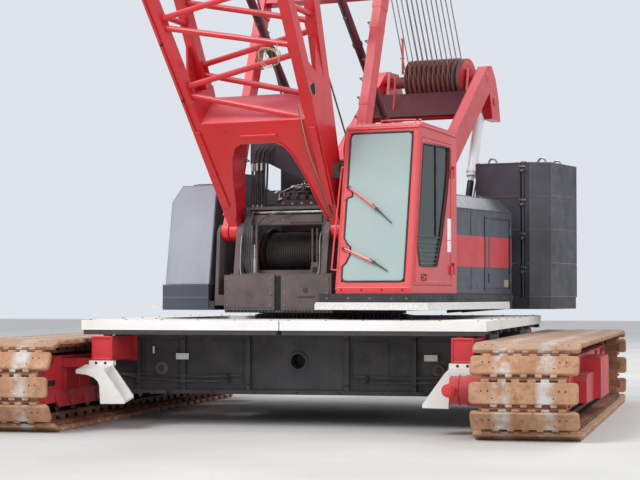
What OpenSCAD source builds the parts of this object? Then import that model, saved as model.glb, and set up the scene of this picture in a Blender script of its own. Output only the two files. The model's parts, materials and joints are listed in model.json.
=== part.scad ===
// Crawler crane with a lattice boom, live mast and rear gantry.
// Millimetres, +Z up, front of the crawlers towards -Y, operator's cab on the +X side.
// The upperworks stand slewed by slew_deg from straight ahead.

/* [Crawlers] */
// Distance between the track centre lines
track_gauge = 6220; // [5800:10:6600]
// Width of a track shoe
shoe_w = 1220; // [1000:10:1300]
// Overall length of a track
track_len = 8530; // [8000:10:9000]
// Overall height of a track
track_h = 1100; // [1050:10:1200]
// Shoes along one straight run
run_shoes = 23; // [20:1:26]

/* [Carbody] */
// Top of the carbody box
carbody_top = 1180; // [1150:5:1190]
// Underside of the carbody box
carbody_low = 380; // [350:10:450]
// Half length of the carbody along the tracks
carbody_half = 2000; // [1900:10:2100]

/* [Upperworks] */
// Slew of the upperworks from straight ahead
slew_deg = -14.25; // [-20:0.25:0]
// Height of the boom foot pin
foot_z = 2480; // [2400:10:2600]
// Distance of the boom foot pin in front of the slew axis
foot_y = 1300; // [1200:10:1400]
// Top of the machinery houses
house_top = 3000; // [2900:10:3050]
// Outer face of the machinery houses
house_x = 1750; // [1700:10:1800]
// Height of one counterweight slab
slab_h = 493; // [480:1:500]

/* [Boom] */
// Angle of the boom above the horizontal
boom_deg = 61.7; // [60:0.1:64]
// Length of the butt section
butt_len = 7600; // [7400:100:7800]
// Length from foot pin to boom point pin
boom_len = 18000; // [17500:100:18500]
// Side of a chord's square section
chord = 150; // [120:5:160]
// Radius of the lacing tubes
lace_r = 38; // [30:1:42]

/* [Mast] */
// Lean of the mast behind the vertical
mast_lean = 17.1; // [15:0.1:20]
// Length of the mast
mast_len = 8000; // [7500:100:8500]

/* [Hidden] */
$fn = 32;
// Offset of the slew axis from the origin, which is the middle of the whole machine
axis_y = 2913;

red = [0.78, 0.11, 0.13];
dark = [0.17, 0.17, 0.18];
pale = [0.80, 0.80, 0.78];
grey = [0.45, 0.47, 0.50];
rust = [0.55, 0.36, 0.24];
steel = [0.60, 0.60, 0.62];

gx = track_gauge / 2;
end_r = track_h / 2;                    // outer radius of a track's end
end_y = track_len / 2 - end_r;          // centre of a track's end wheels
shoe_t = 60;
band_r = end_r - shoe_t;                // outer radius of the chain band
band_in = band_r - 120;                 // inner radius of the chain band
wheel_r = band_in - 12;
pitch = 2 * end_y / run_shoes;

// ---------- placing ----------
module base() { translate([0, axis_y, 0]) children(); }
module upper() { translate([0, axis_y, 0]) rotate([0, 0, slew_deg]) children(); }
module boom_place() { upper() translate([0, -foot_y, foot_z]) rotate([90 - boom_deg, 0, 0]) children(); }
module mast_place() { upper() translate([0, -foot_y, foot_z]) rotate([-mast_lean, 0, 0]) children(); }
module both() { children(); mirror([1, 0, 0]) children(); }

// ---------- helpers ----------
// box by low and high corner
module bx(a, b) { translate(a) cube([b[0] - a[0], b[1] - a[1], b[2] - a[2]]); }
// cylinder along X between two x values
module cx(x0, x1, y, z, r) { translate([x0, y, z]) rotate([0, 90, 0]) cylinder(h = x1 - x0, r = r); }
// profile given in Y and Z, extruded along X
module yz(x0, x1, pts) { translate([x0, 0, 0]) rotate([90, 0, 90]) linear_extrude(x1 - x0) polygon(pts); }
// profile given in X and Z, extruded along Y
module xz(y0, y1, pts) { translate([0, y1, 0]) rotate([90, 0, 0]) linear_extrude(y1 - y0) polygon(pts); }
// profile given in X and Y, extruded up
module xy(z0, z1, pts) { translate([0, 0, z0]) linear_extrude(z1 - z0) polygon(pts); }
// turns +Z towards the line from p to q and keeps X sideways
module along(p, q) {
    d = q - p; n = norm(d);
    translate(p) rotate([-asin(d[1] / n), atan2(d[0], d[2]), 0]) children();
}
module tube(p, q, r) { along(p, q) cylinder(h = norm(q - p), r = r); }
module bar(p, q, a, b) { along(p, q) translate([-a / 2, -b / 2, 0]) cube([a, b, norm(q - p)]); }

// ================= carbody and crawlers =================
module carbody() {
    color(dark) base() difference() {
        union() {
            bx([-1250, -carbody_half, carbody_low], [1250, carbody_half, carbody_top]);
            for (s = [-1, 1]) {
                // upright ribs and lower flange of the end faces
                for (x = [-640, 640])
                    bx([x - 25, s * carbody_half - 60, carbody_low + 40], [x + 25, s * carbody_half + 60, carbody_top - 40]);
                bx([-1250, s * carbody_half - 70, carbody_low], [1250, s * carbody_half + 70, carbody_low + 50]);
            }
        }
        // lightening hole through both end walls
        for (s = [-1, 1]) translate([0, s * carbody_half + 150, 800]) rotate([90, 0, 0])
            cylinder(h = 300, r = 95, center = true);
        // well for the slew ring's gear
        translate([0, 0, carbody_top - 180]) cylinder(h = 400, r = 700);
    }
}
// copies a front right part to all four corners
module corners() {
    for (s = [-1, 1], e = [-1, 1]) mirror([s < 0 ? 1 : 0, 0, 0]) mirror([0, e > 0 ? 1 : 0, 0]) children();
}
// beams from the carbody to the crawlers, stepped down where they pass through the tracks
module cross_beams() {
    h = carbody_half;
    color(dark) base() corners() {
        bx([1250.5, -h, carbody_low + 20], [2440, -h + 840, carbody_top - 20]);
        bx([2430, -h + 60, 470], [gx - 312, -h + 780, 880]);
        for (x = [1500, 2100]) bx([x - 25, -h - 60, carbody_low + 40], [x + 25, -h + 60, carbody_top - 40]);
        bx([1250.5, -h - 70, carbody_low], [2440, -h + 70, carbody_low + 50]);
    }
}
module tie_down_lugs() {
    color(dark) base() corners() difference() {
        bx([1690, -carbody_half - 190, carbody_low], [1910, -carbody_half - 70.5, carbody_low + 50]);
        translate([1800, -carbody_half - 130, carbody_low - 20]) cylinder(h = 100, r = 35);
    }
}

module slew_ring() {
    color(steel) base() translate([0, 0, carbody_top]) {
        difference() {
            cylinder(h = 90, r = 1120, $fn = 96);
            translate([0, 0, -1]) cylinder(h = 400, r = 820, $fn = 96);
        }
        difference() {
            translate([0, 0, 90]) cylinder(h = 110, r = 1030, $fn = 96);
            translate([0, 0, -1]) cylinder(h = 400, r = 880, $fn = 96);
        }
    }
}

// side view of one track: band and shoes
module track_outline() {
    difference() {
        union() {
            hull_free_stadium(band_r);
            for (i = [0:run_shoes - 1], s = [-1, 1])
                translate([-end_y + (i + 0.5) * pitch, s * (band_r + shoe_t / 2 - 2)])
                    square([pitch - 16, shoe_t + 4], center = true);
            for (k = [0:4], s = [-1, 1])
                translate([s * end_y, 0]) rotate(-72 + 36 * k + (s < 0 ? 180 : 0))
                    translate([band_r + 4, 0]) square([shoe_t + 8, pitch - 12], center = true);
        }
        hull_free_stadium(band_in);
    }
}
module hull_free_stadium(r) {
    square([2 * end_y, 2 * r], center = true);
    for (s = [-1, 1]) translate([s * end_y, 0]) circle(r = r, $fn = 64);
}
module track(s) {
    color(rust) base() translate([s * gx - shoe_w / 2, 0, end_r]) rotate([90, 0, 90])
        linear_extrude(shoe_w) track_outline();
}

module crawler_frame(s) {
    color(red) base() translate([s * gx, 0, 0]) {
        // main box beam
        bx([-280, -end_y + 440, 470], [280, end_y - 440, 885]);
        for (t = [-1, 1]) {
            // roller side plates
            translate([t * 295, 0, 0]) {
                yz(-15, 15, [[-3150, 330], [-3050, 250], [3050, 250], [3150, 330], [3300, 700], [3240, 878], [-3240, 878], [-3300, 700]]);
            }
            // idler and tumbler yokes
            for (e = [-1, 1]) {
                bx([t * 295 - 15, min(e * 3200, e * (end_y + 60)), 310], [t * 295 + 15, max(e * 3200, e * (end_y + 60)), 790]);
                cx(t * 295 - 15, t * 295 + 15, e * end_y, end_r, 190);
                cx(min(t * 295, t * 350), max(t * 295, t * 350), e * end_y, end_r, 95);
            }
        }
        // brackets and box on the outer side
        mirror([s < 0 ? 1 : 0, 0, 0]) {
            yz(305, 470, [[-1500, 290], [-330, 290], [-330, 640], [-1400, 640], [-1500, 560]]);
            yz(305, 560, [[-330, 285], [1100, 285], [1100, 700], [980, 820], [-330, 820]]);
        }
        // slides that carry the upper run
        for (y = [-1900, 0, 1900]) bx([-90, y - 260, 880], [90, y + 260, 906]);
        // cross plates between yokes and beam
        for (e = [-1, 1]) bx([-302, e * 3230 - 30, 474], [302, e * 3230 + 30, 704]);
    }
}

module rollers(s) {
    color(dark) base() translate([s * gx, 0, 0]) {
        for (e = [-1, 1]) difference() {
            union() {
                cx(-250, -60, e * end_y, end_r, wheel_r);
                cx(60, 250, e * end_y, end_r, wheel_r);
                cx(-270, 270, e * end_y, end_r, 200);
            }
        }
        for (i = [-5.5:1:5.5]) {
            cx(-255, -70, i * 540, 324, 130);
            cx(70, 255, i * 540, 324, 130);
            cx(-275, 275, i * 540, 324, 70);
        }
    }
}

module final_drives() {
    // the left crawler is the right one turned round, so its gearbox is at the rear
    color(red) base() for (a = [0, 180]) rotate([0, 0, a]) {
        cx(gx - 700, gx - 352, -end_y, end_r, 178);
        cx(gx - 893, gx - 690, -end_y, end_r, 165);
        translate([gx - 888, -end_y - 240, end_r + 5]) rotate([-90, 0, 0]) cylinder(h = 200, r = 70);
        bx([gx - 760, -end_y + 120, end_r - 90], [gx - 560, -end_y + 480, end_r + 60]);
    }
}

module jack_arms() {
    color(red) base() for (s = [-1, 1], e = [-1, 1]) mirror([s < 0 ? 1 : 0, 0, 0]) mirror([0, e > 0 ? 1 : 0, 0]) {
        bx([2130, -3010, 830], [2370, -carbody_half - 62, 1120]);
        bx([2170, -2960, 1110], [2250, -2880, 1205]);
        bx([2170, -2360, 1110], [2250, -2280, 1205]);
        bx([2110, -2110, 800], [2390, -carbody_half - 62, 1140]);
        bx([2118, -3022, 1040], [2382, -2950, 1128]);
        // tie to the crawler frame
        bx([2362, -2948, 742], [2796, -2880, 850]);
        bx([2332, -2948, 742], [2385, -2880, 1000]);
    }
}

// outline of a bracket's two plates, X outboard and Z up
step_pts = [[-150, -95], [205, -95], [205, -145], [60, -160], [-30, -195], [-75, -235], [-98, -285], [-112, -512],
    [-420, -507], [-420, -465]];
module step_brackets() {
    color(pale) base() corners() translate([2250, 0, 828]) {
        difference() {
            union() {
                xz(-3400, -3368, step_pts);
                translate([0, 0, 45]) xz(-3080, -3048, step_pts);
                // sloping top, web and bottom strip
                yz(-148, 203, [[-3398, -130], [-3398, -98], [-3050, -53], [-3050, -85]]);
                yz(-165, -135, [[-3380, -500], [-3380, -112], [-3060, -72], [-3060, -457]]);
                yz(-417, -120, [[-3390, -504], [-3390, -480], [-3060, -435], [-3060, -459]]);
            }
            translate([-130, -3064, -210]) rotate([90, 0, 0]) cylinder(h = 60, r = 48, center = true, $fn = 3);
        }
        // bolted flange
        bx([-158, -3062, -62], [158, -2960, 0]);
    }
}

module walkways() {
    color(pale) base() {
        for (s = [-1, 1]) mirror([s < 0 ? 1 : 0, 0, 0]) {
            for (e = [-1, 1]) mirror([0, e > 0 ? 1 : 0, 0])
                bx([8, -3000, 1208], [2530, -1690, 1330]);
            bx([1960, -1676, 1208], [2530, 1676, 1330]);
        }
    }
}

// ================= upperworks =================
bed_pts = [[-1560, 1450], [-1560, 1890], [1700, 1890], [1700, 1990], [3300, 1990], [3300, 1605], [2500, 1605], [2450, 1450]];
module bed() {
    color(dark) upper() {
        difference() {
            yz(-775, 775, bed_pts);
            // open channel between the two box rails, over the slew ring
            bx([-330, -1350, 1640], [330, 1500, 1900]);
            bx([-330, 2000, 1760], [330, 3200, 2000]);
            translate([0, 0, 1400]) cylinder(h = 300, r = 280);
            // recess for the front drum's flanges
            bx([-480, -1240, 1790], [480, -480, 1900]);
        }
        translate([0, 0, 1388]) difference() {
            union() {
                cylinder(h = 50, r = 1010, $fn = 96);
                cylinder(h = 70, r = 770, $fn = 96);
            }
            translate([0, 0, -1]) cylinder(h = 80, r = 280);
        }
        // front end plates
        bx([-790, -1600, 1440], [-40, -1555, 1900]);
        bx([60, -1600, 1440], [790, -1555, 1900]);
        both() {
            // inner lug of the boom foot
            yz(600, 685, [[-1540, 1880], [-1460, 2440], [-1390, 2590], [-1210, 2590], [-1130, 2440], [-900, 1880]]);
            // outer lug of the mast foot on its bracket
            yz(942, 990, [[-1500, 1560], [-1440, 2480], [-1370, 2570], [-1230, 2570], [-1150, 2480], [-1000, 1560]]);
            bx([770, -1500, 1500], [990, -1000, 1640]);
            // the foot pin
            cx(594, 1005, -foot_y, foot_z, 60);
            // stand of the boom stop
            yz(570, 600, stand_pts);
            yz(720, 750, stand_pts);
            bx([570, 1150, 1880], [750, 1550, 2500]);
            cx(560, 760, stop_foot[0], stop_foot[1], 35);
            // gantry bolster
            bx([740, 1800, 1560], [940, 2600, 1990]);
            bx([740, 2590, 1606], [940, 3260, 1990]);
        }
    }
}
// boom stops: foot on the bed, eye on the boom's rear chord, in Y and Z of the upperworks
stop_foot = [1350, 2900];
stand_pts = [[1160, 2480], [1240, 2960], [1300, 3010], [1400, 3010], [1460, 2960], [1540, 2480]];

module deck() {
    color(dark) upper() {
        // side decks that carry the houses and the cab
        difference() {
            bx([-house_x, -1500, 1440], [-792, 2260, 1556]);
            bx([-1000, -1505, 1430], [-700, -995, 1700]);
        }
        bx([-house_x - 50, -1504, 1440], [-1082, 2264, 1775]);
        difference() {
            union() {
                bx([792, -1940, 1535], [2060, 2260, 1655]);
                bx([792, -1500, 1440], [house_x, 2260, 1540]);
            }
            bx([house_x, -300, 1500], [2100, 2400, 1700]);
            // notches round the mast foot's bracket and the gantry bolster
            bx([700, -1505, 1430], [1000, -995, 1700]);
            bx([700, 1795, 1550], [945, 2300, 1700]);
        }
    }
}

module catwalk() {
    color(pale) upper() {
        bx([860, -2200, 1456], [2400, -1950, 1530]);
        bx([house_x + 10, -1950, 1456], [2400, 500, 1530]);
        // mirrored step on the left side
        bx([-2080, -1400, 1456], [-house_x - 54, 2250, 1510]);
    }
}

module drum_frame() {
    color([0.36, 0.31, 0.29]) upper() {
        both() {
            bx([520, -1330, 1893], [590, -1180, 2570]);
            bx([520, -560, 1893], [590, -430, 2510]);
            yz(527, 550, [[-1290, 1900], [-470, 1900], [-470, 2140], [-700, 2460], [-1000, 2460], [-1290, 2140]]);
        }
        difference() {
            bx([-597, -1345, 2555], [597, -1165, 2800]);
            bx([-560, -1360, 2690], [560, -1245, 2760]);
        }
        bx([60, -1368, 2585], [540, -1330, 2676]);
        bx([-598, -578, 2495], [598, -422, 2585]);
        // cross tie under the drum
        bx([-580, -1322, 1897], [580, -1250, 1965]);
    }
}

// section of a machinery house in X and Z, outer face at high x
function house_sec(x0, z0) = [[x0, z0], [house_x, z0], [house_x, house_top - 190], [house_x - 190, house_top], [x0, house_top]];
module house_right() {
    color(grey) upper() {
        difference() {
            xz(-360, 2240, house_sec(1040, 1657));
            // service opening closed by the door
            bx([house_x - 45, 1240, 1720], [house_x + 10, 2160, 2700]);
            // recess behind it
            bx([house_x - 300, 1300, 1780], [house_x - 30, 2100, 2640]);
            // grille recess at the rear end
            bx([1150, 2200, 1800], [1600, 2400, 2600]);
        }
        door_hangers(2160, 1720, 2700);
    }
}
// fixed knuckle and pin above each of a house door's barrels
module door_hangers(y1, z0, z1) {
    for (z = [z0 + 90, z1 - 210]) hanger(house_x, y1 - 22, z, 120, y1 + 20);
}
// x is the wall's face, y the hinge line; the leaf ends at y2
module hanger(x, y, z, h, y2) {
    translate([x + 22, y, z + h + 2]) cylinder(h = 38, r = 16);
    translate([x + 22, y, z + 4]) cylinder(h = h + 4, r = 8.8);
    bx([x - 6, y + 4, z + h + 2], [x + 22, y2, z + h + 40]);
}
// the left house has a front that leans back
left_sec = [[1080, 1779], [house_x, 1779], [house_x, 2890], [1600, 3110], [1080, 3110]];
module house_left() {
    color(grey) upper() mirror([1, 0, 0]) {
        difference() {
            xz(-1500, 2240, left_sec);
            yz(1000, 1900, [[-1600, 1700], [-1512, 1700], [-1287, 3200], [-1600, 3200]]);
            bx([house_x - 45, -60, 1840], [house_x + 10, 1000, 2400]);
            bx([house_x - 300, 0, 1880], [house_x - 30, 940, 2360]);
            // grille recess at the rear end
            bx([1150, 2200, 1900], [1520, 2400, 2700]);
        }
        door_hangers(1000, 1840, 2400);
    }
}
// zh and hh: middle and half height of the handle's recess
module house_door(y0, y1, z0, z1, zh, hh) {
    xt = house_x - 40;
    difference() {
        union() {
            bx([xt, y0 + 5, z0 + 6], [house_x + 4, y1 - 45, z1 - 6]);
            // hinge barrels
            for (z = [z0 + 90, z1 - 210]) translate([house_x + 22, y1 - 22, z]) cylinder(h = 120, r = 16);
            for (z = [z0 + 90, z1 - 210]) bx([house_x - 4, y1 - 60, z], [house_x + 22, y1 - 34, z + 120]);
        }
        translate([house_x + 22, y1 - 22, z0 + 20]) cylinder(h = z1 - z0, r = 9);
        bx([house_x - 6, y0 + 90, zh - hh], [house_x + 10, y0 + 150, zh + hh]);
    }
    bx([house_x - 4, y0 + 112, zh - hh - 5], [house_x + 8, y0 + 128, zh + hh + 5]);
}
module house_door_right() { color(grey) upper() house_door(1240, 2160, 1720, 2700, 1875, 65); }
module house_door_left() { color(grey) upper() mirror([1, 0, 0]) house_door(-60, 1000, 1840, 2400, 2120, 85); }

module engine() {
    color(dark) upper() bx([-480, -60, 1895], [480, 1080, 2860]);
}

// ---------- cab ----------
cab_x0 = 1020; cab_x1 = 2040; wall = 45;
// side outline in Y and Z
cab_side = [[-1930, 1660], [-1614, 3765], [-1560, 3805], [-540, 3750], [-460, 3690], [-460, 1660]];
cab_in = [[-1930 + 52, 1720], [-1614 + 56, 3700], [-1540, 3752], [-565, 3700], [-505, 3655], [-505, 1720]];
// door opening on the outer side
door_pts = [[-1845, 1760], [-1570, 3620], [-620, 3580], [-620, 1760]];
module cab_shell() {
    color(red) upper() {
      for (z = [1900, 3150]) hanger(cab_x1 + 2, -600, z, 110, -566);
      difference() {
        yz(cab_x0, cab_x1, cab_side);
        yz(cab_x0 + wall, cab_x1 - wall, cab_in);
        // windscreen opening
        translate([0, 0, 0]) yz(cab_x0 + 62, cab_x1 - 82, [[-2000, 1800], [-1700, 1800], [-1400, 3690], [-1760, 3690]]);
        // door opening
        yz(cab_x1 - wall - 10, cab_x1 + 10, door_pts);
        // inner side window
        yz(cab_x0 - 10, cab_x0 + wall + 10, [[-1560, 2450], [-1440, 3480], [-680, 3420], [-680, 2450]]);
        // rear window
        bx([cab_x0 + 150, -520, 2500], [cab_x1 - 150, -440, 3400]);
        // roof window
        bx([cab_x0 + 180, -1250, 3500], [cab_x1 - 180, -850, 3900]);
      }
    }
}
// slope of the raked front, dy per dz
rake = (1930 - 1614) / (3765 - 1660);
module cab_glass() {
    color([0.70, 0.78, 0.80]) upper() {
        // windscreen pane, let into the opening
        yz(cab_x0 + 64, cab_x1 - 84, [[-1930 + 17 + rake * 142, 1802], [-1930 + 25 + rake * 142, 1802],
            [-1930 + 25 + rake * 2028, 3688], [-1930 + 17 + rake * 2028, 3688]]);
        yz(cab_x0 + 16, cab_x0 + 24, [[-1558, 2452], [-1438, 3478], [-682, 3418], [-682, 2452]]);
        bx([cab_x0 + 152, -486, 2502], [cab_x1 - 152, -478, 3398]);
        // roof pane, sloped with the roof
        yz(cab_x0 + 182, cab_x1 - 182, [[-1248, 3772], [-852, 3751], [-852, 3743], [-1248, 3764]]);
    }
}
// the door follows the opening with a 6 mm gap and is as thick as the wall
door_out = [[-1838, 1766], [-1564.5, 3613.5], [-626, 3574], [-626, 1766]];
// window of the door: its rear edge leans forward towards the bottom
door_win = [[-1640, 2000], [-1110, 2000], [-960, 2350], [-790, 2900], [-715, 3250], [-700, 3535], [-1525, 3535], [-1716, 2280]];
door_pane = [[-1638, 2002], [-1112, 2002], [-962, 2351], [-792, 2901], [-717, 3251], [-702, 3533], [-1523, 3533], [-1713, 2281]];
module cab_door() {
    color(red) upper() {
        difference() {
            yz(cab_x1 - wall + 2, cab_x1 + 2, door_out);
            yz(cab_x1 - wall - 10, cab_x1 + 20, door_win);
            // recess of the handle
            bx([cab_x1 - 6, -1570, 1830], [cab_x1 + 20, -1450, 1890]);
        }
        // handle and hinge leaves
        bx([cab_x1 - 8, -1550, 1850], [cab_x1 + 22, -1470, 1868]);
        for (z = [1900, 3150]) difference() {
            union() {
                bx([cab_x1 - 2, -690, z], [cab_x1 + 24, -640, z + 110]);
                bx([cab_x1 + 8, -645, z], [cab_x1 + 24, -604, z + 110]);
                translate([cab_x1 + 24, -600, z]) cylinder(h = 110, r = 17);
            }
            translate([cab_x1 + 24, -600, z - 5]) cylinder(h = 120, r = 9);
        }
    }
}
module cab_door_glass() {
    color([0.70, 0.78, 0.80]) upper()
        yz(cab_x1 - 26, cab_x1 - 18, door_pane);
}
module seat() {
    color(dark) upper() translate([1500, -1010, 0]) {
        bx([-120, -120, 1725], [120, 150, 2080]);
        bx([-250, -280, 2080], [250, 220, 2200]);
        yz(-230, 230, [[170, 2200], [230, 2200], [330, 2880], [300, 2960], [240, 2960], [215, 2880]]);
        for (s = [-1, 1]) bx([s * 300 - 40, -220, 2330], [s * 300 + 40, 160, 2390]);
        for (s = [-1, 1]) bx([s * 300 - 30, 60, 2100], [s * 300 + 30, 120, 2335]);
        for (s = [-1, 1]) bx([s * 270 - 35, 70, 2110], [s * 270 + 35, 110, 2150]);
    }
}
module console() {
    color(dark) upper() {
        bx([1080, -1350, 1722], [1160, -700, 2330]);
        yz(1250, 1760, [[-1700, 1722], [-1560, 1722], [-1480, 2300], [-1530, 2360], [-1600, 2330]]);
        for (x = [1120, 1140]) translate([x, -1250 + (x - 1120) * 15, 2320]) cylinder(h = 170, r = 12);
    }
}

// ---------- counterweight ----------
// plan of the right stack in X and Y
cw_pts = [[1030, 2640], [1880, 2640], [2150, 2800], [2150, 3900], [1900, 4130], [1030, 4170]];
module counterweight_tray() {
    color(dark) upper() {
        xy(1430, 1598, [[-1880, 2620], [1880, 2620], [2140, 2790], [2140, 3895], [1900, 4120],
            [-1900, 4120], [-2140, 3895], [-2140, 2790]]);
    }
}
module stack() {
    color(dark) difference() {
        union() {
            for (k = [0:3])
                xy(1598 + k * slab_h + (k > 0 ? 6 : 0), 1598 + (k + 1) * slab_h, cw_pts);
            xy(1598, 1598 + 4 * slab_h, [[1038, 2650], [1874, 2650], [2142, 2806], [2142, 3894], [1894, 4120], [1038, 4160]]);
        }
        // slot of the tie rods in the front face
        bx([1730, 2600, 1590], [1800, 2690, 4000]);
    }
    color(steel) {
        translate([1765, 2665, 1600]) cylinder(h = 4 * slab_h - 30, r = 22);
        for (k = [1:4]) translate([1765, 2665, 1598 + k * slab_h - 60]) cylinder(h = 50, r = 34, $fn = 6);
        translate([1500, 3400, 1598 + 4 * slab_h - 2]) cylinder(h = 60, r = 45);
    }
}
module counterweight_right() { upper() stack(); }
module counterweight_left() { upper() mirror([1, 0, 0]) stack(); }

// ---------- gantry ----------
gh = [3420, 4930];      // sheave shaft, Y and Z
gt = [3700, 4600];      // cross tube at the tail, Y and Z
module gantry() {
    color(red) upper() {
        both() {
            // post, raked arm and tail horn, as one outline in Y and Z
            yz(770, 920, [[1880, 1992], [1870, 3650], [1955, 3800], [3400, 5110], [3560, 5130], [3720, 4950],
                [3850, 4640], [3915, 4300], [3590, 4320], [3530, 4560], [3480, 4715],
                [2182, 3547], [2150, 1992]]);
        }
        // cross plate and cross tubes
        translate([0, 2874, 4345]) rotate([-43, 0, 0]) bx([-772, -60, -110], [772, 0, 450]);
        cx(-772, 772, 2080, 3590, 70);
        cx(-772, 772, gt[0], gt[1], 60);
        // shaft and side plates of the sheave nest
        cx(-905, 905, gh[0], gh[1], 50);
        for (x = [-680, 640]) yz(x, x + 40, [[3180, 4680], [3250, 5080], [3560, 5080], [3780, 4690], [3768, 4600], [3640, 4600]]);
        both() cx(660, 765, gt[0], gt[1], 63);
    }
}
module sheave(x, y, z, r, w) {
    translate([x - w / 2, y, z]) rotate([0, 90, 0]) rotate_extrude($fn = 48)
        polygon([[50.05, 0], [r, 0], [r, w * 0.14], [r - w * 0.9, w * 0.44], [r - w * 0.9, w * 0.56], [r, w * 0.86], [r, w], [50.05, w]]);
}
module gantry_sheaves() {
    color(rust) upper() {
        for (i = [0:9]) sheave(-300 + i * 80, gh[0], gh[1], 330, 80);
        // spacer and outer disc
        difference() {
            union() {
                cx(460, 520, gh[0], gh[1], 250);
                cx(520, 600, gh[0], gh[1], 315);
                cx(-600, 630, gh[0], gh[1], 90);
            }
            cx(-700, 700, gh[0], gh[1], 50.05);
        }
    }
}
module gantry_struts() {
    color(pale) upper() both() {
        // rod below, barrel above
        tube([690, 2859, 2150], [690, 3310, 3464], 45);
        tube([690, 3299, 3431], [690, 3678, 4536], 78);
        bx([640, 2740, 1992], [740, 2980, 2200]);
    }
}

// ---------- drums ----------
module drum(y, z, r, rf, w) {
    color(dark) upper() {
        difference() {
            union() {
                cx(-w / 2, w / 2, y, z, r);
                cx(-w / 2 - 30, -w / 2, y, z, rf);
                cx(w / 2, w / 2 + 30, y, z, rf);
            }
        }
        cx(-w / 2 - 60, w / 2 + 60, y, z, 55);
    }
}
module front_drum() { drum(-860, 2180, 270, 340, 860); }
module rear_drum() { drum(1500, 2330, 200, 300, 700); }
module luffing_drum() { drum(2560, 2320, 200, 290, 760); }

// ================= boom =================
// stations of the chords: s along the boom, hw half width to the outer face, hd half depth to the chord centre
ST = [[250, 832, 42], [3800, 1040, 397], [7600, 1040, 776], [12000, 1040, 776], [17300, 460, 330]];
// the pin line lies in front of the chords' middle plane
mid_y = 50;
function lerp_st(s, k, i = 0) = (i >= len(ST) - 2 || s <= ST[i + 1][0])
    ? ST[i][k] + (ST[i + 1][k] - ST[i][k]) * (s - ST[i][0]) / (ST[i + 1][0] - ST[i][0])
    : lerp_st(s, k, i + 1);
function hw(s) = lerp_st(s, 1) - chord / 2;      // to the chord centre, sideways
function hd(s) = lerp_st(s, 2);                  // to the chord centre, in depth
function corner(a, b, s) = [a * hw(s), b * hd(s) + mid_y, s];
// w is the side of the section; sections of the boom end 8 mm short of the field joint
module chords(list, w = chord, end = -8) {
    for (a = [-1, 1], b = [-1, 1], i = [0:len(list) - 2])
        bar(corner(a, b, list[i]), corner(a, b, list[i + 1] + (i < len(list) - 2 ? 12 : end)), w, w);
}
// zigzag lacing; f names the face (-1 front, 1 rear across the width; 2 right, -2 left across the depth)
// neighbouring tubes stand 2 * gap apart where they meet a chord
gap = 52;
module lacing(f, list) {
    for (i = [0:len(list) - 2]) {
        t = (i % 2 == 0) ? 1 : -1;
        a = list[i] + gap; b = list[i + 1] - gap;
        p = abs(f) == 1 ? corner(t, f, a) : corner(f / 2, t, a);
        q = abs(f) == 1 ? corner(-t, f, b) : corner(f / 2, -t, b);
        tube(p, q, lace_r);
    }
}
module ring_frame(s, r) {
    for (b = [-1, 1]) tube(corner(-1, b, s), corner(1, b, s), r);
    for (a = [-1, 1]) tube(corner(a, -1, s), corner(a, 1, s), r);
}

butt_front = [1560, 2100, 2580, 3060, 3540, 4100, 4800, 5600, 6500, 7480];
// the bay between 5300 and 6500 leaves room for the eyes of the boom stops
butt_rear = [1700, 2200, 2680, 3160, 3640, 4200, 4800, 5300, 6500, 7480];
butt_side = [2750, 3250, 3800, 4450, 5250, 6200, 7480];
// front outline of the foot plates, in X and s; right half
foot_half = [[690, -90], [815, -90], [818, 0], [838, 350], [934, 1960], [0, 1960], [0, 1330], [270, 1330],
    [360, 1290], [440, 1150], [530, 850], [600, 480], [650, 270], [690, 200]];
// side outline of the foot plates, in depth and s
foot_side = [[-70, -95], [70, -95], [149, 60], [339, 1960], [-236, 1960], [-70, 60]];
butt_s = [1000, 3800, 7600];
ins_s = [7602, 11998];
top_s = [12014, 17300];
module foot_block() {
    difference() {
        intersection() {
            both() rotate([90, 0, 0]) translate([0, 0, -600]) linear_extrude(1200) polygon(foot_half);
            yz(-1000, 1000, foot_side);
        }
        // sloping top of the cross box between the side plates
        yz(-764, 764, [[-500, 1567], [600, 1872], [600, 2300], [-500, 2300]]);
    }
}
module stop_lugs() {
    both() yz(710, 750, [[610, 5720], [840, 5760], [876, 5860], [820, 5950], [610, 6020]]);
    both() bar([732, 690, 5860], [975, 652, 5860], 60, 60);
}
module boom_butt() {
    color(red) boom_place() difference() {
        union() {
            foot_block();
            both() {
                // foot bosses
                cx(695, 818, 0, 0, 130);
                // side gussets above the cross box
                yz(905, 937, [[-225, 1900], [330, 1900], [376, 2480], [200, 2560], [20, 2180], [-130, 2420], [-298, 2680]]);
            }
            chords(butt_s);
            connectors(7440, 158);
            // slim bar on the cross box
            bx([-220, -222, 1430], [300, -180, 1462]);
            // lugs of the boom stops
            stop_lugs();
        }
        both() cx(600, 900, 0, 0, 60.05);
    }
}
// the lacing tubes are cut 0.5 mm short of what they are welded to
module boom_butt_lacing() {
    color(red) boom_place() difference() {
        union() {
            lacing(-1, butt_front);
            lacing(1, butt_rear);
            lacing(2, butt_side);
            lacing(-2, butt_side);
            ring_frame(7520, lace_r);
        }
        chords(butt_s, chord + 1, 12);
        connectors(7440, 158, 1);
        foot_block();
        stop_lugs();
    }
}

ins_front = [7760, 8480, 9200, 9920, 10640, 11360, 11860];
ins_side = [7900, 8700, 9500, 10300, 11100, 11800];
module boom_insert() {
    color(red) boom_place() {
        chords(ins_s);
        connectors(7602, 150);
        connectors(11842, 148);
    }
}
module boom_insert_lacing() {
    color(red) boom_place() difference() {
        union() {
            lacing(-1, ins_front);
            lacing(1, ins_front);
            lacing(2, ins_side);
            lacing(-2, ins_side);
            ring_frame(7690, lace_r);
            ring_frame(11925, lace_r);
        }
        chords(ins_s, chord + 1, 12);
        connectors(7602, 150, 1);
        connectors(11842, 148, 1);
    }
}
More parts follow.
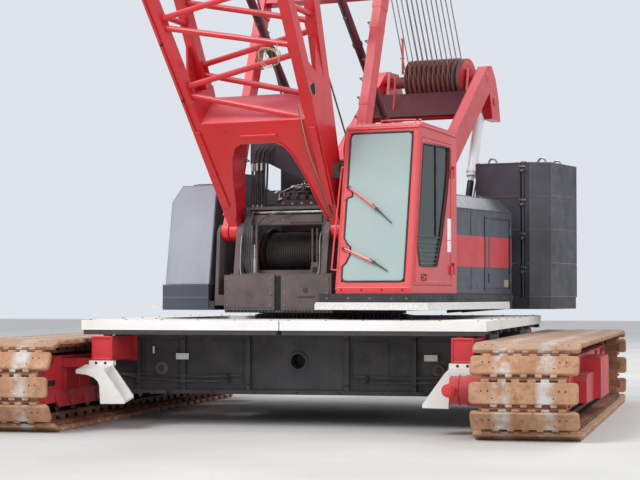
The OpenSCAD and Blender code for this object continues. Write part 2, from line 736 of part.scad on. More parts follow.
// pin lugs at a field joint, g wider all round
module connectors(s, h, g = 0) {
    for (a = [-1, 1], b = [-1, 1]) translate(corner(a, b, s)) translate([-50 - g, -95 - g, -g]) cube([100 + 2 * g, 190 + 2 * g, h + 2 * g]);
}
top_front = [12160, 12900, 13640, 14360, 15060, 15720, 16320, 16860];
top_side = [12300, 13100, 13880, 14620, 15320, 15960, 16560];
module boom_top() {
    color(red) boom_place() {
        chords(top_s);
        connectors(12002, 140);
        // head box and cheeks
        bx([-455, -422, 16910], [455, 422, 17320]);
        both() yz(398, 448, [[-430, 16930], [430, 16930], [400, 17500], [200, 18180], [-60, 18300], [-440, 18160], [-560, 17800]]);
        yz(-20, 20, [[-300, 17300], [300, 17300], [120, 18100], [-60, 18160], [-260, 18080]]);
        cx(-470, 470, -100, boom_len, 50);
        // pendant lugs
        both() yz(475, 520, [[250, 17050], [424, 17050], [560, 17500], [520, 17590], [440, 17590], [250, 17450]]);
        both() bx([430, 310, 17060], [485, 418, 17310]);
        both() cx(500, 625, 480, 17520, 30);
    }
}
module boom_top_lacing() {
    color(red) boom_place() difference() {
        union() {
            lacing(-1, top_front);
            lacing(1, top_front);
            lacing(2, top_side);
            lacing(-2, top_side);
            ring_frame(12085, lace_r);
        }
        chords([12000, 17300], chord + 1, 12);
        connectors(12002, 140, 1);
        bx([-455.5, -422.5, 16909.5], [455.5, 422.5, 17320]);
        both() yz(397, 449, [[-431, 16929], [431, 16929], [400, 17500], [-560, 17800]]);
    }
}
module boom_point_sheaves() {
    color(dark) boom_place() {
        for (x = [-330, -220, -110, 110, 220, 330]) sheave(x, -100, boom_len, 360, 74);
    }
}

// ---------- pendants: from the mast head to the boom point ----------
// mast head pin seen in the boom's frame
function rotx(p, a) = [p[0], p[1] * cos(a) - p[2] * sin(a), p[1] * sin(a) + p[2] * cos(a)];
mast_head_b = rotx([0, 0, mast_len], -(90 - boom_deg) - mast_lean);
module pendants() {
    color(steel) boom_place() both() {
        p = [590, 480, 17520];
        q = [590, mast_head_b[1], mast_head_b[2]];
        u = (q - p) / norm(q - p);
        tube(p + u * 200, q - u * 200, 18);
        for (e = [p + u * 45, q - u * 245]) tube(e, e + u * 195, 36);
        difference() {
            union() {
                cx(565, 615, 480, 17520, 58);
                cx(565, 615, q[1], q[2], 66);
            }
            cx(500, 700, 480, 17520, 30.05);
            cx(500, 700, q[1], q[2], 40.05);
        }
    }
}

// ================= mast =================
// rows: z along the mast, outer half width
MT = [[200, 965], [3200, 965], [7900, 560]];
module mast() {
    color(red) mast_place() difference() {
        union() {
            both() {
                for (i = [0:1]) bar([MT[i][1] - 61, 0, MT[i][0]], [MT[i + 1][1] - 61, 0, MT[i + 1][0]], 122, 200);
                bx([831, -106, 3110], [969, 106, 3290]);
                yz(840, 930, [[-118, -12], [-86, 460], [86, 460], [118, -12]]);
                cx(836, 934, 0, 0, 130);
                // head cheeks
                yz(500, 540, [[-170, 7500], [170, 7500], [190, 8080], [60, 8170], [-60, 8170], [-190, 8080]]);
            }
            // cross members
            bx([-876, -80, 3300], [876, 80, 3460]);
            tube([-760, 0, 5000], [760, 0, 5000], 55);
            tube([-640, 0, 6350], [640, 0, 6350], 55);
            tube([-834, 0, 3560], [735, 0, 4880], 45);
            tube([-735, 0, 5120], [640, 0, 6230], 45);
            bx([-552, -112, 7420], [552, 112, 7580]);
            cx(-640, 640, 0, mast_len, 40);
        }
        both() cx(800, 1000, 0, 0, 60.05);
    }
}
module mast_sheaves() {
    color(rust) mast_place() {
        for (i = [0:9]) translate([-360 + i * 80, 0, mast_len]) rotate([0, 90, 0]) rotate_extrude($fn = 48)
            translate([0, -40]) polygon([[40.05, 0], [300, 0], [300, 11], [230, 35], [230, 45], [300, 69], [300, 80], [40.05, 80]]);
    }
}

// ---------- boom stops, at x = 660 ----------
stop_x = 660;
// eye on the boom in the upperworks' Y and Z
stop_eye_p = rotx([0, 800, 5860], 90 - boom_deg);
stop_eye = [stop_eye_p[1] - foot_y, stop_eye_p[2] + foot_z];
stop_len = norm([stop_eye[0] - stop_foot[0], stop_eye[1] - stop_foot[1]]);
stop_tilt = atan2(-(stop_eye[0] - stop_foot[0]), stop_eye[1] - stop_foot[1]);
module stop_place() { upper() translate([0, stop_foot[0], stop_foot[1]]) rotate([stop_tilt, 0, 0]) children(); }
module stop_barrels() {
    color([0.45, 0.08, 0.10]) stop_place() both() difference() {
        union() {
            translate([stop_x, 0, 60]) cylinder(h = 4240, r = 58);
            cx(stop_x - 40, stop_x + 40, 0, 0, 75);
            translate([stop_x, 0, 4200]) cylinder(h = 100, r = 72);
        }
        translate([stop_x, 0, 500]) cylinder(h = 4000, r = 43);
        cx(stop_x - 60, stop_x + 60, 0, 0, 35.05);
    }
}
module stop_rods() {
    color(steel) stop_place() both() difference() {
        union() {
            translate([stop_x, 0, 2900]) cylinder(h = stop_len - 2900 - 58, r = 42.95);
            cx(stop_x - 20, stop_x + 20, 0, stop_len, 72);
        }
        cx(stop_x - 60, stop_x + 60, 0, stop_len, 36);
    }
}

// ---------- hook ----------
// boom point sheave shaft in the upperworks' Y and Z
bp = rotx([0, -100, boom_len], 90 - boom_deg);
hook_y = bp[1] - foot_y - 355;
hook_z = bp[2] + foot_z - 3600;
module hook_block() {
    color(red) upper() translate([0, hook_y, hook_z]) {
        for (x = [-300, -20, 260]) yz(x, x + 40, [[-270, 100], [-160, 330], [160, 330], [270, 100], [170, -380], [120, -560], [-120, -560], [-170, -380]]);
        cx(-310, 310, 0, 0, 50);
        bx([-298, -105, -552], [298, 105, -420]);
        cylinder_z(0, -800, -540, 70);
        for (x = [-220, -110, 110, 220]) sheave(x, 0, 0, 230, 74);
    }
    color(dark) upper() translate([0, hook_y, hook_z]) {
        // shank and hook
        translate([0, 0, -960]) rotate([90, 0, 90]) rotate_extrude(angle = 250, $fn = 48) translate([140, 0]) circle(r = 48, $fn = 24);
        cylinder_z(0, -840, -780, 85);
        tube([0, 125, -960], [0, 20, -800], 46);
    }
}
module cylinder_z(x, z0, z1, r) { translate([x, 0, z0]) cylinder(h = z1 - z0, r = r); }
module hoist_falls() {
    color(steel) upper() for (x = [-220, -110, 110, 220], e = [-1, 1])
        tube([x, hook_y + e * 200, hook_z + 20], [x, hook_y + e * 14, hook_z + 3570], 11);
}

carbody();
slew_ring();
crawler_frame(-1);  // crawler_frame_left
crawler_frame(1);  // crawler_frame_right
track(-1);  // track_left
track(1);  // track_right
rollers(-1);  // rollers_left
rollers(1);  // rollers_right
final_drives();
cross_beams();
tie_down_lugs();
jack_arms();
step_brackets();
walkways();
bed();
deck();
catwalk();
drum_frame();
house_left();
house_right();
engine();
cab_shell();
cab_glass();
seat();
console();
counterweight_tray();
counterweight_left();
counterweight_right();
gantry();
gantry_struts();
front_drum();
rear_drum();
luffing_drum();
gantry_sheaves();
cab_door();
cab_door_glass();
house_door_left();
house_door_right();
boom_butt();
boom_insert();
boom_top();
boom_butt_lacing();
boom_insert_lacing();
boom_top_lacing();
boom_point_sheaves();
pendants();
mast();
mast_sheaves();
stop_barrels();
stop_rods();
hook_block();
hoist_falls();
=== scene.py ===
import json
import math
import random

import bmesh
import bpy
from mathutils import Matrix, Vector


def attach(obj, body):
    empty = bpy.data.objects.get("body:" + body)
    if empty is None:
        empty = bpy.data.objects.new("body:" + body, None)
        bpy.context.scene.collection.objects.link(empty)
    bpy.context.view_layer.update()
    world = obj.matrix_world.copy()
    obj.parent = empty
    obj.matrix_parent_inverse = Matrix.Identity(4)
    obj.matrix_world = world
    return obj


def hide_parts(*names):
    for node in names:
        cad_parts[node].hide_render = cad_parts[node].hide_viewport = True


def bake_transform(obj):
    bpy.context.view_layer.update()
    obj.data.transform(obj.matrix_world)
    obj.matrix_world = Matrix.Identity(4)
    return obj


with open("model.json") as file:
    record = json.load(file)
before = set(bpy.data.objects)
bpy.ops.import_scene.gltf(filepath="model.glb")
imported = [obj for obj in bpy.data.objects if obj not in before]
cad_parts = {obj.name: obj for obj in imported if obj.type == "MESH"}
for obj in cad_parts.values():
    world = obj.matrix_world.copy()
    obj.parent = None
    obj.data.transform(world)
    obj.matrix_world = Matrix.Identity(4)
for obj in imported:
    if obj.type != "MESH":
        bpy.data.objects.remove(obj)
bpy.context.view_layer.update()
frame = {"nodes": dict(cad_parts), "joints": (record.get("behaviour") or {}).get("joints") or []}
nodes = frame["nodes"]
rng = random.Random(11)
joint_at = {j["name"]: j.get("pos_m") for j in frame["joints"]}
AX = joint_at["slew"][1]

# ---------------------------------------------------------------- camera
cam_data = bpy.data.cameras.new("camera")
cam_data.sensor_fit = "HORIZONTAL"
cam_data.sensor_width = 36.0
cam_data.lens = 1839.36 / 640 * 36
cam_data.clip_end = 300
cam = bpy.data.objects.new("camera", cam_data)
bpy.context.scene.collection.objects.link(cam)
cam.location = (5.502, -24.646 + AX, 1.662)
cam.rotation_euler = (math.pi / 2 + 0.0289, 0, 0.2265)
bpy.context.scene.camera = cam


# ---------------------------------------------------------------- places
def MT(x, y, z):
    return Matrix.Translation((x, y, z))


def MR(deg, axis):
    return Matrix.Rotation(math.radians(deg), 4, axis)


BASE = MT(0, AX, 0)
UP = MT(0, AX, 0) @ MR(-14.25, "Z")
FOOT = MT(0, -1.3, 2.48)
BOOM = UP @ FOOT @ MR(28.3, "X")
MAST = UP @ FOOT @ MR(-17.1, "X")
FLIP = Matrix.Scale(-1, 4, (1, 0, 0))


def lin(r, g, b):
    out = []
    for v in (r, g, b):
        v /= 255
        out.append(v / 12.92 if v <= 0.04045 else ((v + 0.055) / 1.055) ** 2.4)
    return tuple(out)


# ---------------------------------------------------------------- materials
class Mat:
    """A procedural material and its node helpers."""

    def __init__(self, name):
        self.m = bpy.data.materials.new(name)
        self.m.use_nodes = True
        self.t = self.m.node_tree
        self.b = self.t.nodes["Principled BSDF"]
        self.co = self.t.nodes.new("ShaderNodeTexCoord").outputs["Object"]

    def link(self, a, b):
        self.t.links.new(a, b)

    def put(self, sock, v):
        if isinstance(v, bpy.types.NodeSocket):
            self.link(v, sock)
        elif isinstance(v, (tuple, list)) and len(v) == 3 and sock.type == "RGBA":
            sock.default_value = (*v, 1)
        else:
            sock.default_value = v

    def scaled(self, s):
        n = self.t.nodes.new("ShaderNodeMapping")
        self.link(self.co, n.inputs["Vector"])
        n.inputs["Scale"].default_value = s
        return n.outputs[0]

    def noise(self, scale, detail=4.0, rough=0.55, vec=None, distort=0.0):
        n = self.t.nodes.new("ShaderNodeTexNoise")
        self.link(vec or self.co, n.inputs["Vector"])
        n.inputs["Scale"].default_value = scale
        n.inputs["Detail"].default_value = detail
        n.inputs["Roughness"].default_value = rough
        n.inputs["Distortion"].default_value = distort
        return n.outputs["Fac"]

    def cells(self, scale, vec=None):
        n = self.t.nodes.new("ShaderNodeTexVoronoi")
        self.link(vec or self.co, n.inputs["Vector"])
        n.inputs["Scale"].default_value = scale
        return n.outputs["Distance"]

    def wave(self, scale, vec=None, distort=0.0, direction="X"):
        n = self.t.nodes.new("ShaderNodeTexWave")
        n.bands_direction = direction
        self.link(vec or self.co, n.inputs["Vector"])
        n.inputs["Scale"].default_value = scale
        n.inputs["Distortion"].default_value = distort
        return n.outputs["Fac"]

    def fit(self, v, a, b, c=0.0, d=1.0):
        n = self.t.nodes.new("ShaderNodeMapRange")
        n.clamp = True
        self.put(n.inputs["Value"], v)
        for k, x in (("From Min", a), ("From Max", b), ("To Min", c), ("To Max", d)):
            n.inputs[k].default_value = x
        return n.outputs[0]

    def calc(self, op, a, b=0.0):
        n = self.t.nodes.new("ShaderNodeMath")
        n.operation = op
        self.put(n.inputs[0], a)
        self.put(n.inputs[1], b)
        return n.outputs[0]

    def mix(self, f, a, b):
        n = self.t.nodes.new("ShaderNodeMix")
        n.data_type = "RGBA"
        self.put(n.inputs[0], f)
        self.put(n.inputs[6], a)
        self.put(n.inputs[7], b)
        return n.outputs[2]

    def axis(self, k, vec=None):
        n = self.t.nodes.new("ShaderNodeSeparateXYZ")
        self.link(vec or self.co, n.inputs[0])
        return n.outputs[k]

    def up(self):
        g = self.t.nodes.new("ShaderNodeNewGeometry")
        return self.axis(2, g.outputs["Normal"])

    def bump(self, h, strength, dist, after=None):
        n = self.t.nodes.new("ShaderNodeBump")
        n.inputs["Strength"].default_value = strength
        n.inputs["Distance"].default_value = dist
        self.link(h, n.inputs["Height"])
        if after is not None:
            self.link(after, n.inputs["Normal"])
        return n.outputs[0]

    def close(self, col, rough, normal=None, metallic=0.0, coat=0.0):
        self.put(self.b.inputs["Base Color"], col)
        self.put(self.b.inputs["Roughness"], rough)
        self.put(self.b.inputs["Metallic"], metallic)
        if coat:
            self.b.inputs["Coat Weight"].default_value = coat
            self.b.inputs["Coat Roughness"].default_value = 0.18
        if normal is not None:
            self.link(normal, self.b.inputs["Normal"])
        return self.m


def paint(name, base, var=0.12, rough=0.42, dirt=(0.07, 0.055, 0.045), streak=0.35,
          dust=(0.36, 0.31, 0.26), dusty=0.35, chips=0.0, chip_col=(0.10, 0.045, 0.03),
          coat=0.0, wavy=0.10, grime=0.0, painted_sky_sheen=None, painted_sky_sheen_amt=0.0):
    g = Mat(name)
    faded = tuple(min(1, c * (1 + var * 2.2) + var * 0.10) for c in base)
    deep = tuple(c * (1 - var) for c in base)
    col = g.mix(g.fit(g.noise(0.9, 5), 0.35, 0.68), deep, faded)
    col = g.mix(g.fit(g.noise(7, 3), 0.3, 0.75, 0, 0.35), col, base)
    if streak:
        s = g.noise(1.0, 6, 0.6, g.scaled((9, 9, 0.9)))
        s = g.calc("MULTIPLY", g.fit(s, 0.52, 0.78), g.fit(g.noise(0.6, 2), 0.35, 0.7))
        col = g.mix(g.calc("MULTIPLY", s, streak), col, dirt)
    if grime:
        col = g.mix(g.calc("MULTIPLY", g.fit(g.noise(3.2, 6, 0.7), 0.48, 0.72), grime), col, dirt)
    # painted sky sheen: faces that look up are blended towards a pale tint, standing in for the bright sky reflected in
    # the paint
    if painted_sky_sheen:
        k = g.calc("MULTIPLY", g.fit(g.up(), -0.04, 0.72), g.fit(g.noise(1.4, 4), 0.25, 0.7, 0.75, 1.0))
        col = g.mix(g.calc("MULTIPLY", k, painted_sky_sheen_amt), col, painted_sky_sheen)
    if dusty:
        d = g.calc("MULTIPLY", g.fit(g.up(), 0.55, 1.0), g.fit(g.noise(2.6, 6, 0.65), 0.30, 0.72, 0.25, 1))
        col = g.mix(g.calc("MULTIPLY", d, dusty), col, dust)
    if chips:
        c = g.calc("MULTIPLY", g.fit(g.noise(38, 3), 0.66, 0.70), g.fit(g.noise(1.7, 3), 0.50, 0.62))
        col = g.mix(g.calc("MULTIPLY", c, chips), col, chip_col)
    r = g.fit(g.noise(5, 5), 0.3, 0.75, rough - 0.08, rough + 0.16)
    nrm = g.bump(g.noise(2.2, 2), wavy, 0.012)
    nrm = g.bump(g.noise(140, 2), 0.12, 0.0015, nrm)
    return g.close(col, r, nrm, 0.0, coat)


def rusty(name, tan, brown, dark, worn=False, worn_x=0.0, metallic=0.25, scale=1.0, rough=0.72):
    g = Mat(name)
    col = g.mix(g.fit(g.noise(1.6 * scale, 6, 0.65), 0.32, 0.68), brown, tan)
    col = g.mix(g.fit(g.noise(11 * scale, 6, 0.7), 0.50, 0.78, 0, 0.8), col, dark)
    col = g.mix(g.fit(g.noise(5.5 * scale, 8, 0.75, None, 0.6), 0.50, 0.72, 0, 0.5), col, tuple(c * 1.25 for c in tan))
    col = g.mix(g.fit(g.noise(46 * scale, 5, 0.7), 0.56, 0.72, 0, 0.45), col, dark)
    met = metallic
    if worn:
        x = g.calc("ABSOLUTE", g.calc("SUBTRACT", g.calc("ABSOLUTE", g.axis(0)), 3.11))
        band = g.fit(g.calc("ABSOLUTE", g.calc("SUBTRACT", x, worn_x)), 0.05, 0.13, 1, 0)
        m = g.calc("MULTIPLY", band, g.fit(g.noise(5, 6, 0.65), 0.40, 0.60))
        col = g.mix(m, col, (0.56, 0.53, 0.51))
        col = g.mix(g.calc("MULTIPLY", g.fit(g.up(), 0.7, 1.0), g.fit(g.noise(3, 5), 0.3, 0.7, 0.3, 0.8)), col, (0.44, 0.34, 0.26))
    n = g.bump(g.noise(30 * scale, 6, 0.7), 0.5, 0.006)
    n = g.bump(g.cells(14 * scale), 0.18, 0.01, n)
    return g.close(col, g.fit(g.noise(9, 4), 0.3, 0.7, rough - 0.14, rough + 0.12), n, met)


RED = lin(200, 24, 31)
# pale pink of the painted sky sheen on the red paint's upward faces, not a paint colour
SKY_SHEEN_PINK = lin(246, 128, 140)
M = {}
M["red"] = paint("m_red", RED, var=0.07, rough=0.34, streak=0.30, dusty=0.12, dust=(0.62, 0.33, 0.32), chips=0.55, coat=0.35, painted_sky_sheen=SKY_SHEEN_PINK, painted_sky_sheen_amt=0.62)
M["red_low"] = paint("m_red_low", lin(192, 40, 46), var=0.14, rough=0.50, streak=0.55, dusty=0.55, dust=(0.45, 0.30, 0.24), chips=0.8, grime=0.35)
M["dark"] = paint("m_dark", lin(46, 44, 48), var=0.22, rough=0.52, streak=0.5, dirt=(0.13, 0.10, 0.085), dusty=0.45, dust=(0.20, 0.17, 0.15), chips=0.35, chip_col=(0.20, 0.12, 0.08), grime=0.30)
M["bed"] = paint("m_bed", lin(92, 80, 78), var=0.16, rough=0.55, streak=0.6, dirt=(0.035, 0.028, 0.028), dusty=0.35, dust=(0.22, 0.19, 0.17), chips=0.5, grime=0.55)
M["slate"] = paint("m_slate", lin(66, 70, 80), var=0.10, rough=0.40, streak=0.35, dirt=(0.03, 0.03, 0.035), dusty=0.30, dust=(0.33, 0.33, 0.38), chips=0.2, coat=0.15)
M["grey"] = paint("m_grey", lin(104, 105, 112), var=0.10, rough=0.48, streak=0.4, dirt=(0.07, 0.065, 0.065), dusty=0.35, dust=(0.32, 0.31, 0.32), chips=0.3)
M["lightgrey"] = paint("m_lightgrey", lin(152, 154, 164), var=0.06, rough=0.5, streak=0.3, dirt=(0.12, 0.11, 0.12), dusty=0.2)
M["weight"] = paint("m_weight", lin(56, 56, 64), var=0.25, rough=0.46, streak=0.55, dirt=(0.09, 0.075, 0.07), dusty=0.35, dust=(0.24, 0.22, 0.22), chips=0.6, chip_col=(0.28, 0.17, 0.12), grime=0.25, wavy=0.3)
M["lip"] = paint("m_lip", lin(104, 96, 104), var=0.15, rough=0.5, streak=0.4, dirt=(0.08, 0.07, 0.07), dusty=0.3, chips=0.4)
M["pale"] = paint("m_pale", lin(226, 224, 218), var=0.06, rough=0.60, streak=0.35, dirt=(0.25, 0.21, 0.18), dusty=0.25, dust=(0.55, 0.50, 0.46), chips=0.4, chip_col=(0.30, 0.20, 0.14), grime=0.12)
M["brown"] = paint("m_brown", lin(96, 80, 74), var=0.16, rough=0.55, streak=0.6, dirt=(0.02, 0.018, 0.018), dusty=0.40, dust=(0.20, 0.17, 0.15), chips=0.5, grime=0.6)
M["maroon"] = paint("m_maroon", lin(84, 18, 30), var=0.12, rough=0.55, streak=0.4, dusty=0.06, dust=(0.25, 0.16, 0.15), chips=0.4)
M["stripe"] = paint("m_stripe", lin(200, 44, 52), var=0.08, rough=0.42, streak=0.25, dusty=0.1, chips=0.2, coat=0.2)
M["tan"] = paint("m_tan", lin(168, 150, 122), var=0.08, rough=0.6, streak=0.3, dusty=0.2)
M["track"] = rusty("m_track", lin(198, 156, 122), lin(160, 112, 82), lin(92, 58, 44), worn=True, worn_x=0.25)
M["chain"] = rusty("m_chain", lin(150, 104, 80), lin(112, 72, 56), lin(62, 42, 36), metallic=0.2)
# gap web: the track's rust made darker, painted shade between the knuckles
M["gap"] = rusty("m_gap_shaded_rust", lin(172, 116, 84), lin(134, 84, 60), lin(78, 48, 38), metallic=0.1)
# cab paint: a lighter, pinker copy of the crane's red with a strong painted sky sheen, standing in for the sky light on
# the cab's glossy faces
M["cab"] = paint("m_cab_red_sky_lit", lin(208, 44, 48), var=0.08, rough=0.30, streak=0.25, dusty=0.08, dust=(0.66, 0.36, 0.35), chips=0.30, coat=0.45, painted_sky_sheen=lin(255, 150, 150), painted_sky_sheen_amt=0.95)
M["white"] = paint("m_white", lin(246, 247, 248), var=0.03, rough=0.38, streak=0.10, dirt=(0.45, 0.42, 0.40), dusty=0.05, coat=0.3)
M["walk"] = paint("m_walk", lin(236, 234, 229), var=0.05, rough=0.62, streak=0.15, dirt=(0.40, 0.36, 0.33), dusty=0.18, dust=(0.60, 0.56, 0.52), grime=0.10)
M["teal"] = paint("m_teal", lin(58, 84, 80), var=0.12, rough=0.45, streak=0.3, dusty=0.2, dust=(0.22, 0.26, 0.25))
M["cable"] = paint("m_cable", lin(176, 148, 118), var=0.15, rough=0.7, streak=0.2, dusty=0.1)
M["sheave"] = rusty("m_sheave", lin(142, 78, 72), lin(104, 52, 50), lin(52, 28, 30), metallic=0.2, scale=1.5)
M["oily"] = rusty("m_oily", lin(62, 56, 54), lin(40, 36, 36), lin(22, 20, 21), metallic=0.55, rough=0.46)
M["ring"] = rusty("m_ring", lin(96, 82, 74), lin(66, 54, 48), lin(32, 28, 26), metallic=0.5, rough=0.5)


def metal(name, col, rough, aniso_scale=60, metallic=0.95):
    g = Mat(name)
    c = g.mix(g.fit(g.noise(8, 5), 0.3, 0.7), tuple(x * 0.72 for x in col), col)
    n = g.bump(g.noise(1.0, 3, 0.6, g.scaled((aniso_scale, aniso_scale, 4))), 0.12, 0.001)
    return g.close(c, g.fit(g.noise(14, 4), 0.3, 0.7, rough - 0.07, rough + 0.12), n, metallic)


M["steel"] = metal("m_steel", (0.55, 0.55, 0.56), 0.30)
M["chrome"] = metal("m_chrome", (0.78, 0.78, 0.80), 0.16)
M["zinc"] = metal("m_zinc", (0.26, 0.245, 0.23), 0.50, metallic=0.7)


def wire(name, col):
    g = Mat(name)
    w = g.wave(38, g.scaled((1, 1, 1)), 1.5, "DIAGONAL")
    c = g.mix(g.fit(w, 0.2, 0.8), tuple(x * 0.35 for x in col), col)
    c = g.mix(g.fit(g.noise(3, 4), 0.45, 0.7, 0, 0.6), c, (0.05, 0.035, 0.025))
    return g.close(c, g.fit(g.noise(20, 3), 0.3, 0.7, 0.4, 0.62), g.bump(w, 0.6, 0.004), 0.7)


M["wire"] = wire("m_wire", (0.26, 0.24, 0.22))
# drum rope: greasy rope, darkened further as painted shade for the deep shade the drums sit in
M["greasy"] = wire("m_greasy", (0.085, 0.072, 0.064))
M["fall"] = wire("m_fall", (0.46, 0.40, 0.35))


def rubber(name, col, rough=0.55):
    g = Mat(name)
    c = g.mix(g.fit(g.noise(6, 5), 0.35, 0.7), col, tuple(min(1, x * 1.9 + 0.01) for x in col))
    return g.close(c, g.fit(g.noise(18, 4), 0.3, 0.7, rough - 0.1, rough + 0.15), g.bump(g.noise(220, 2), 0.2, 0.001))


M["rubber"] = rubber("m_rubber", (0.018, 0.018, 0.02))
M["hose"] = rubber("m_hose", (0.045, 0.043, 0.045), 0.42)
M["plastic"] = rubber("m_plastic", (0.035, 0.036, 0.04), 0.5)
# near-black stand-in: painted shade inside holes, slots, vents and gaps; also the colour of the dark panel joints
M["hole"] = rubber("m_hole_shade_and_joint", (0.006, 0.005, 0.005), 0.8)


def fabric(name, col):
    g = Mat(name)
    a = g.wave(210, None, 0.3, "X")
    b = g.wave(210, None, 0.3, "Z")
    w = g.calc("ADD", a, b)
    c = g.mix(g.fit(w, 0.4, 1.6), tuple(x * 0.6 for x in col), tuple(x * 1.35 for x in col))
    c = g.mix(g.fit(g.noise(5, 5), 0.45, 0.75, 0, 0.5), c, tuple(x * 1.9 for x in col))
    m = g.close(c, 0.9, g.bump(w, 0.35, 0.0015))
    g.b.inputs["Sheen Weight"].default_value = 0.35
    return m


M["fabric"] = fabric("m_fabric", (0.055, 0.055, 0.062))


def glass(name, col, trans, rough, cloud):
    g = Mat(name)
    c = g.mix(g.fit(g.noise(1.3, 4), 0.3, 0.7), col, tuple(min(1, x * cloud) for x in col))
    s = g.noise(1.0, 5, 0.6, g.scaled((14, 14, 1.2)))
    c = g.mix(g.fit(s, 0.55, 0.8, 0, 0.18), c, tuple(x * 0.7 for x in col))
    g.b.inputs["Transmission Weight"].default_value = trans
    g.b.inputs["IOR"].default_value = 1.45
    return g.close(c, g.fit(g.noise(9, 5), 0.3, 0.75, rough, rough + 0.10), g.bump(g.noise(1.1, 1), 0.05, 0.01))


# windscreen glass: pale and nearly opaque, a painted reflection of the sky
M["screen"] = glass("m_screen_painted_sky_reflection", lin(172, 189, 187), 0.12, 0.07, 1.08)
# side glass: a green tint made dark as painted shade of the dark cab interior behind it
M["glass"] = glass("m_glass_tint_and_interior_shade", lin(70, 88, 84), 0.80, 0.03, 1.2)
M["lamp"] = glass("m_lamp", lin(230, 232, 225), 0.35, 0.05, 1.05)
M["lens_red"] = glass("m_lens_red", lin(190, 20, 22), 0.35, 0.08, 1.1)
M["lens_amber"] = glass("m_lens_amber", lin(225, 120, 20), 0.35, 0.08, 1.1)


def floor_mat():
    g = Mat("m_floor")
    c = g.mix(g.fit(g.noise(0.35, 6), 0.3, 0.7), lin(196, 194, 190), lin(212, 210, 206))
    c = g.mix(g.fit(g.noise(26, 5), 0.4, 0.7, 0, 0.25), c, lin(178, 175, 170))
    return g.close(c, 0.85, g.bump(g.noise(60, 5), 0.15, 0.004))


M["floor"] = floor_mat()


def tread_plate(name, col):
    g = Mat(name)
    v = g.cells(34)
    c = g.mix(g.fit(v, 0.0, 0.45), tuple(min(1, x * 1.15) for x in col), tuple(x * 0.8 for x in col))
    c = g.mix(g.fit(g.noise(2, 6, 0.65), 0.48, 0.76, 0, 0.35), c, (0.52, 0.47, 0.42))
    return g.close(c, 0.62, g.bump(v, 0.10, 0.003))


M["grip"] = tread_plate("m_grip", lin(238, 236, 231))


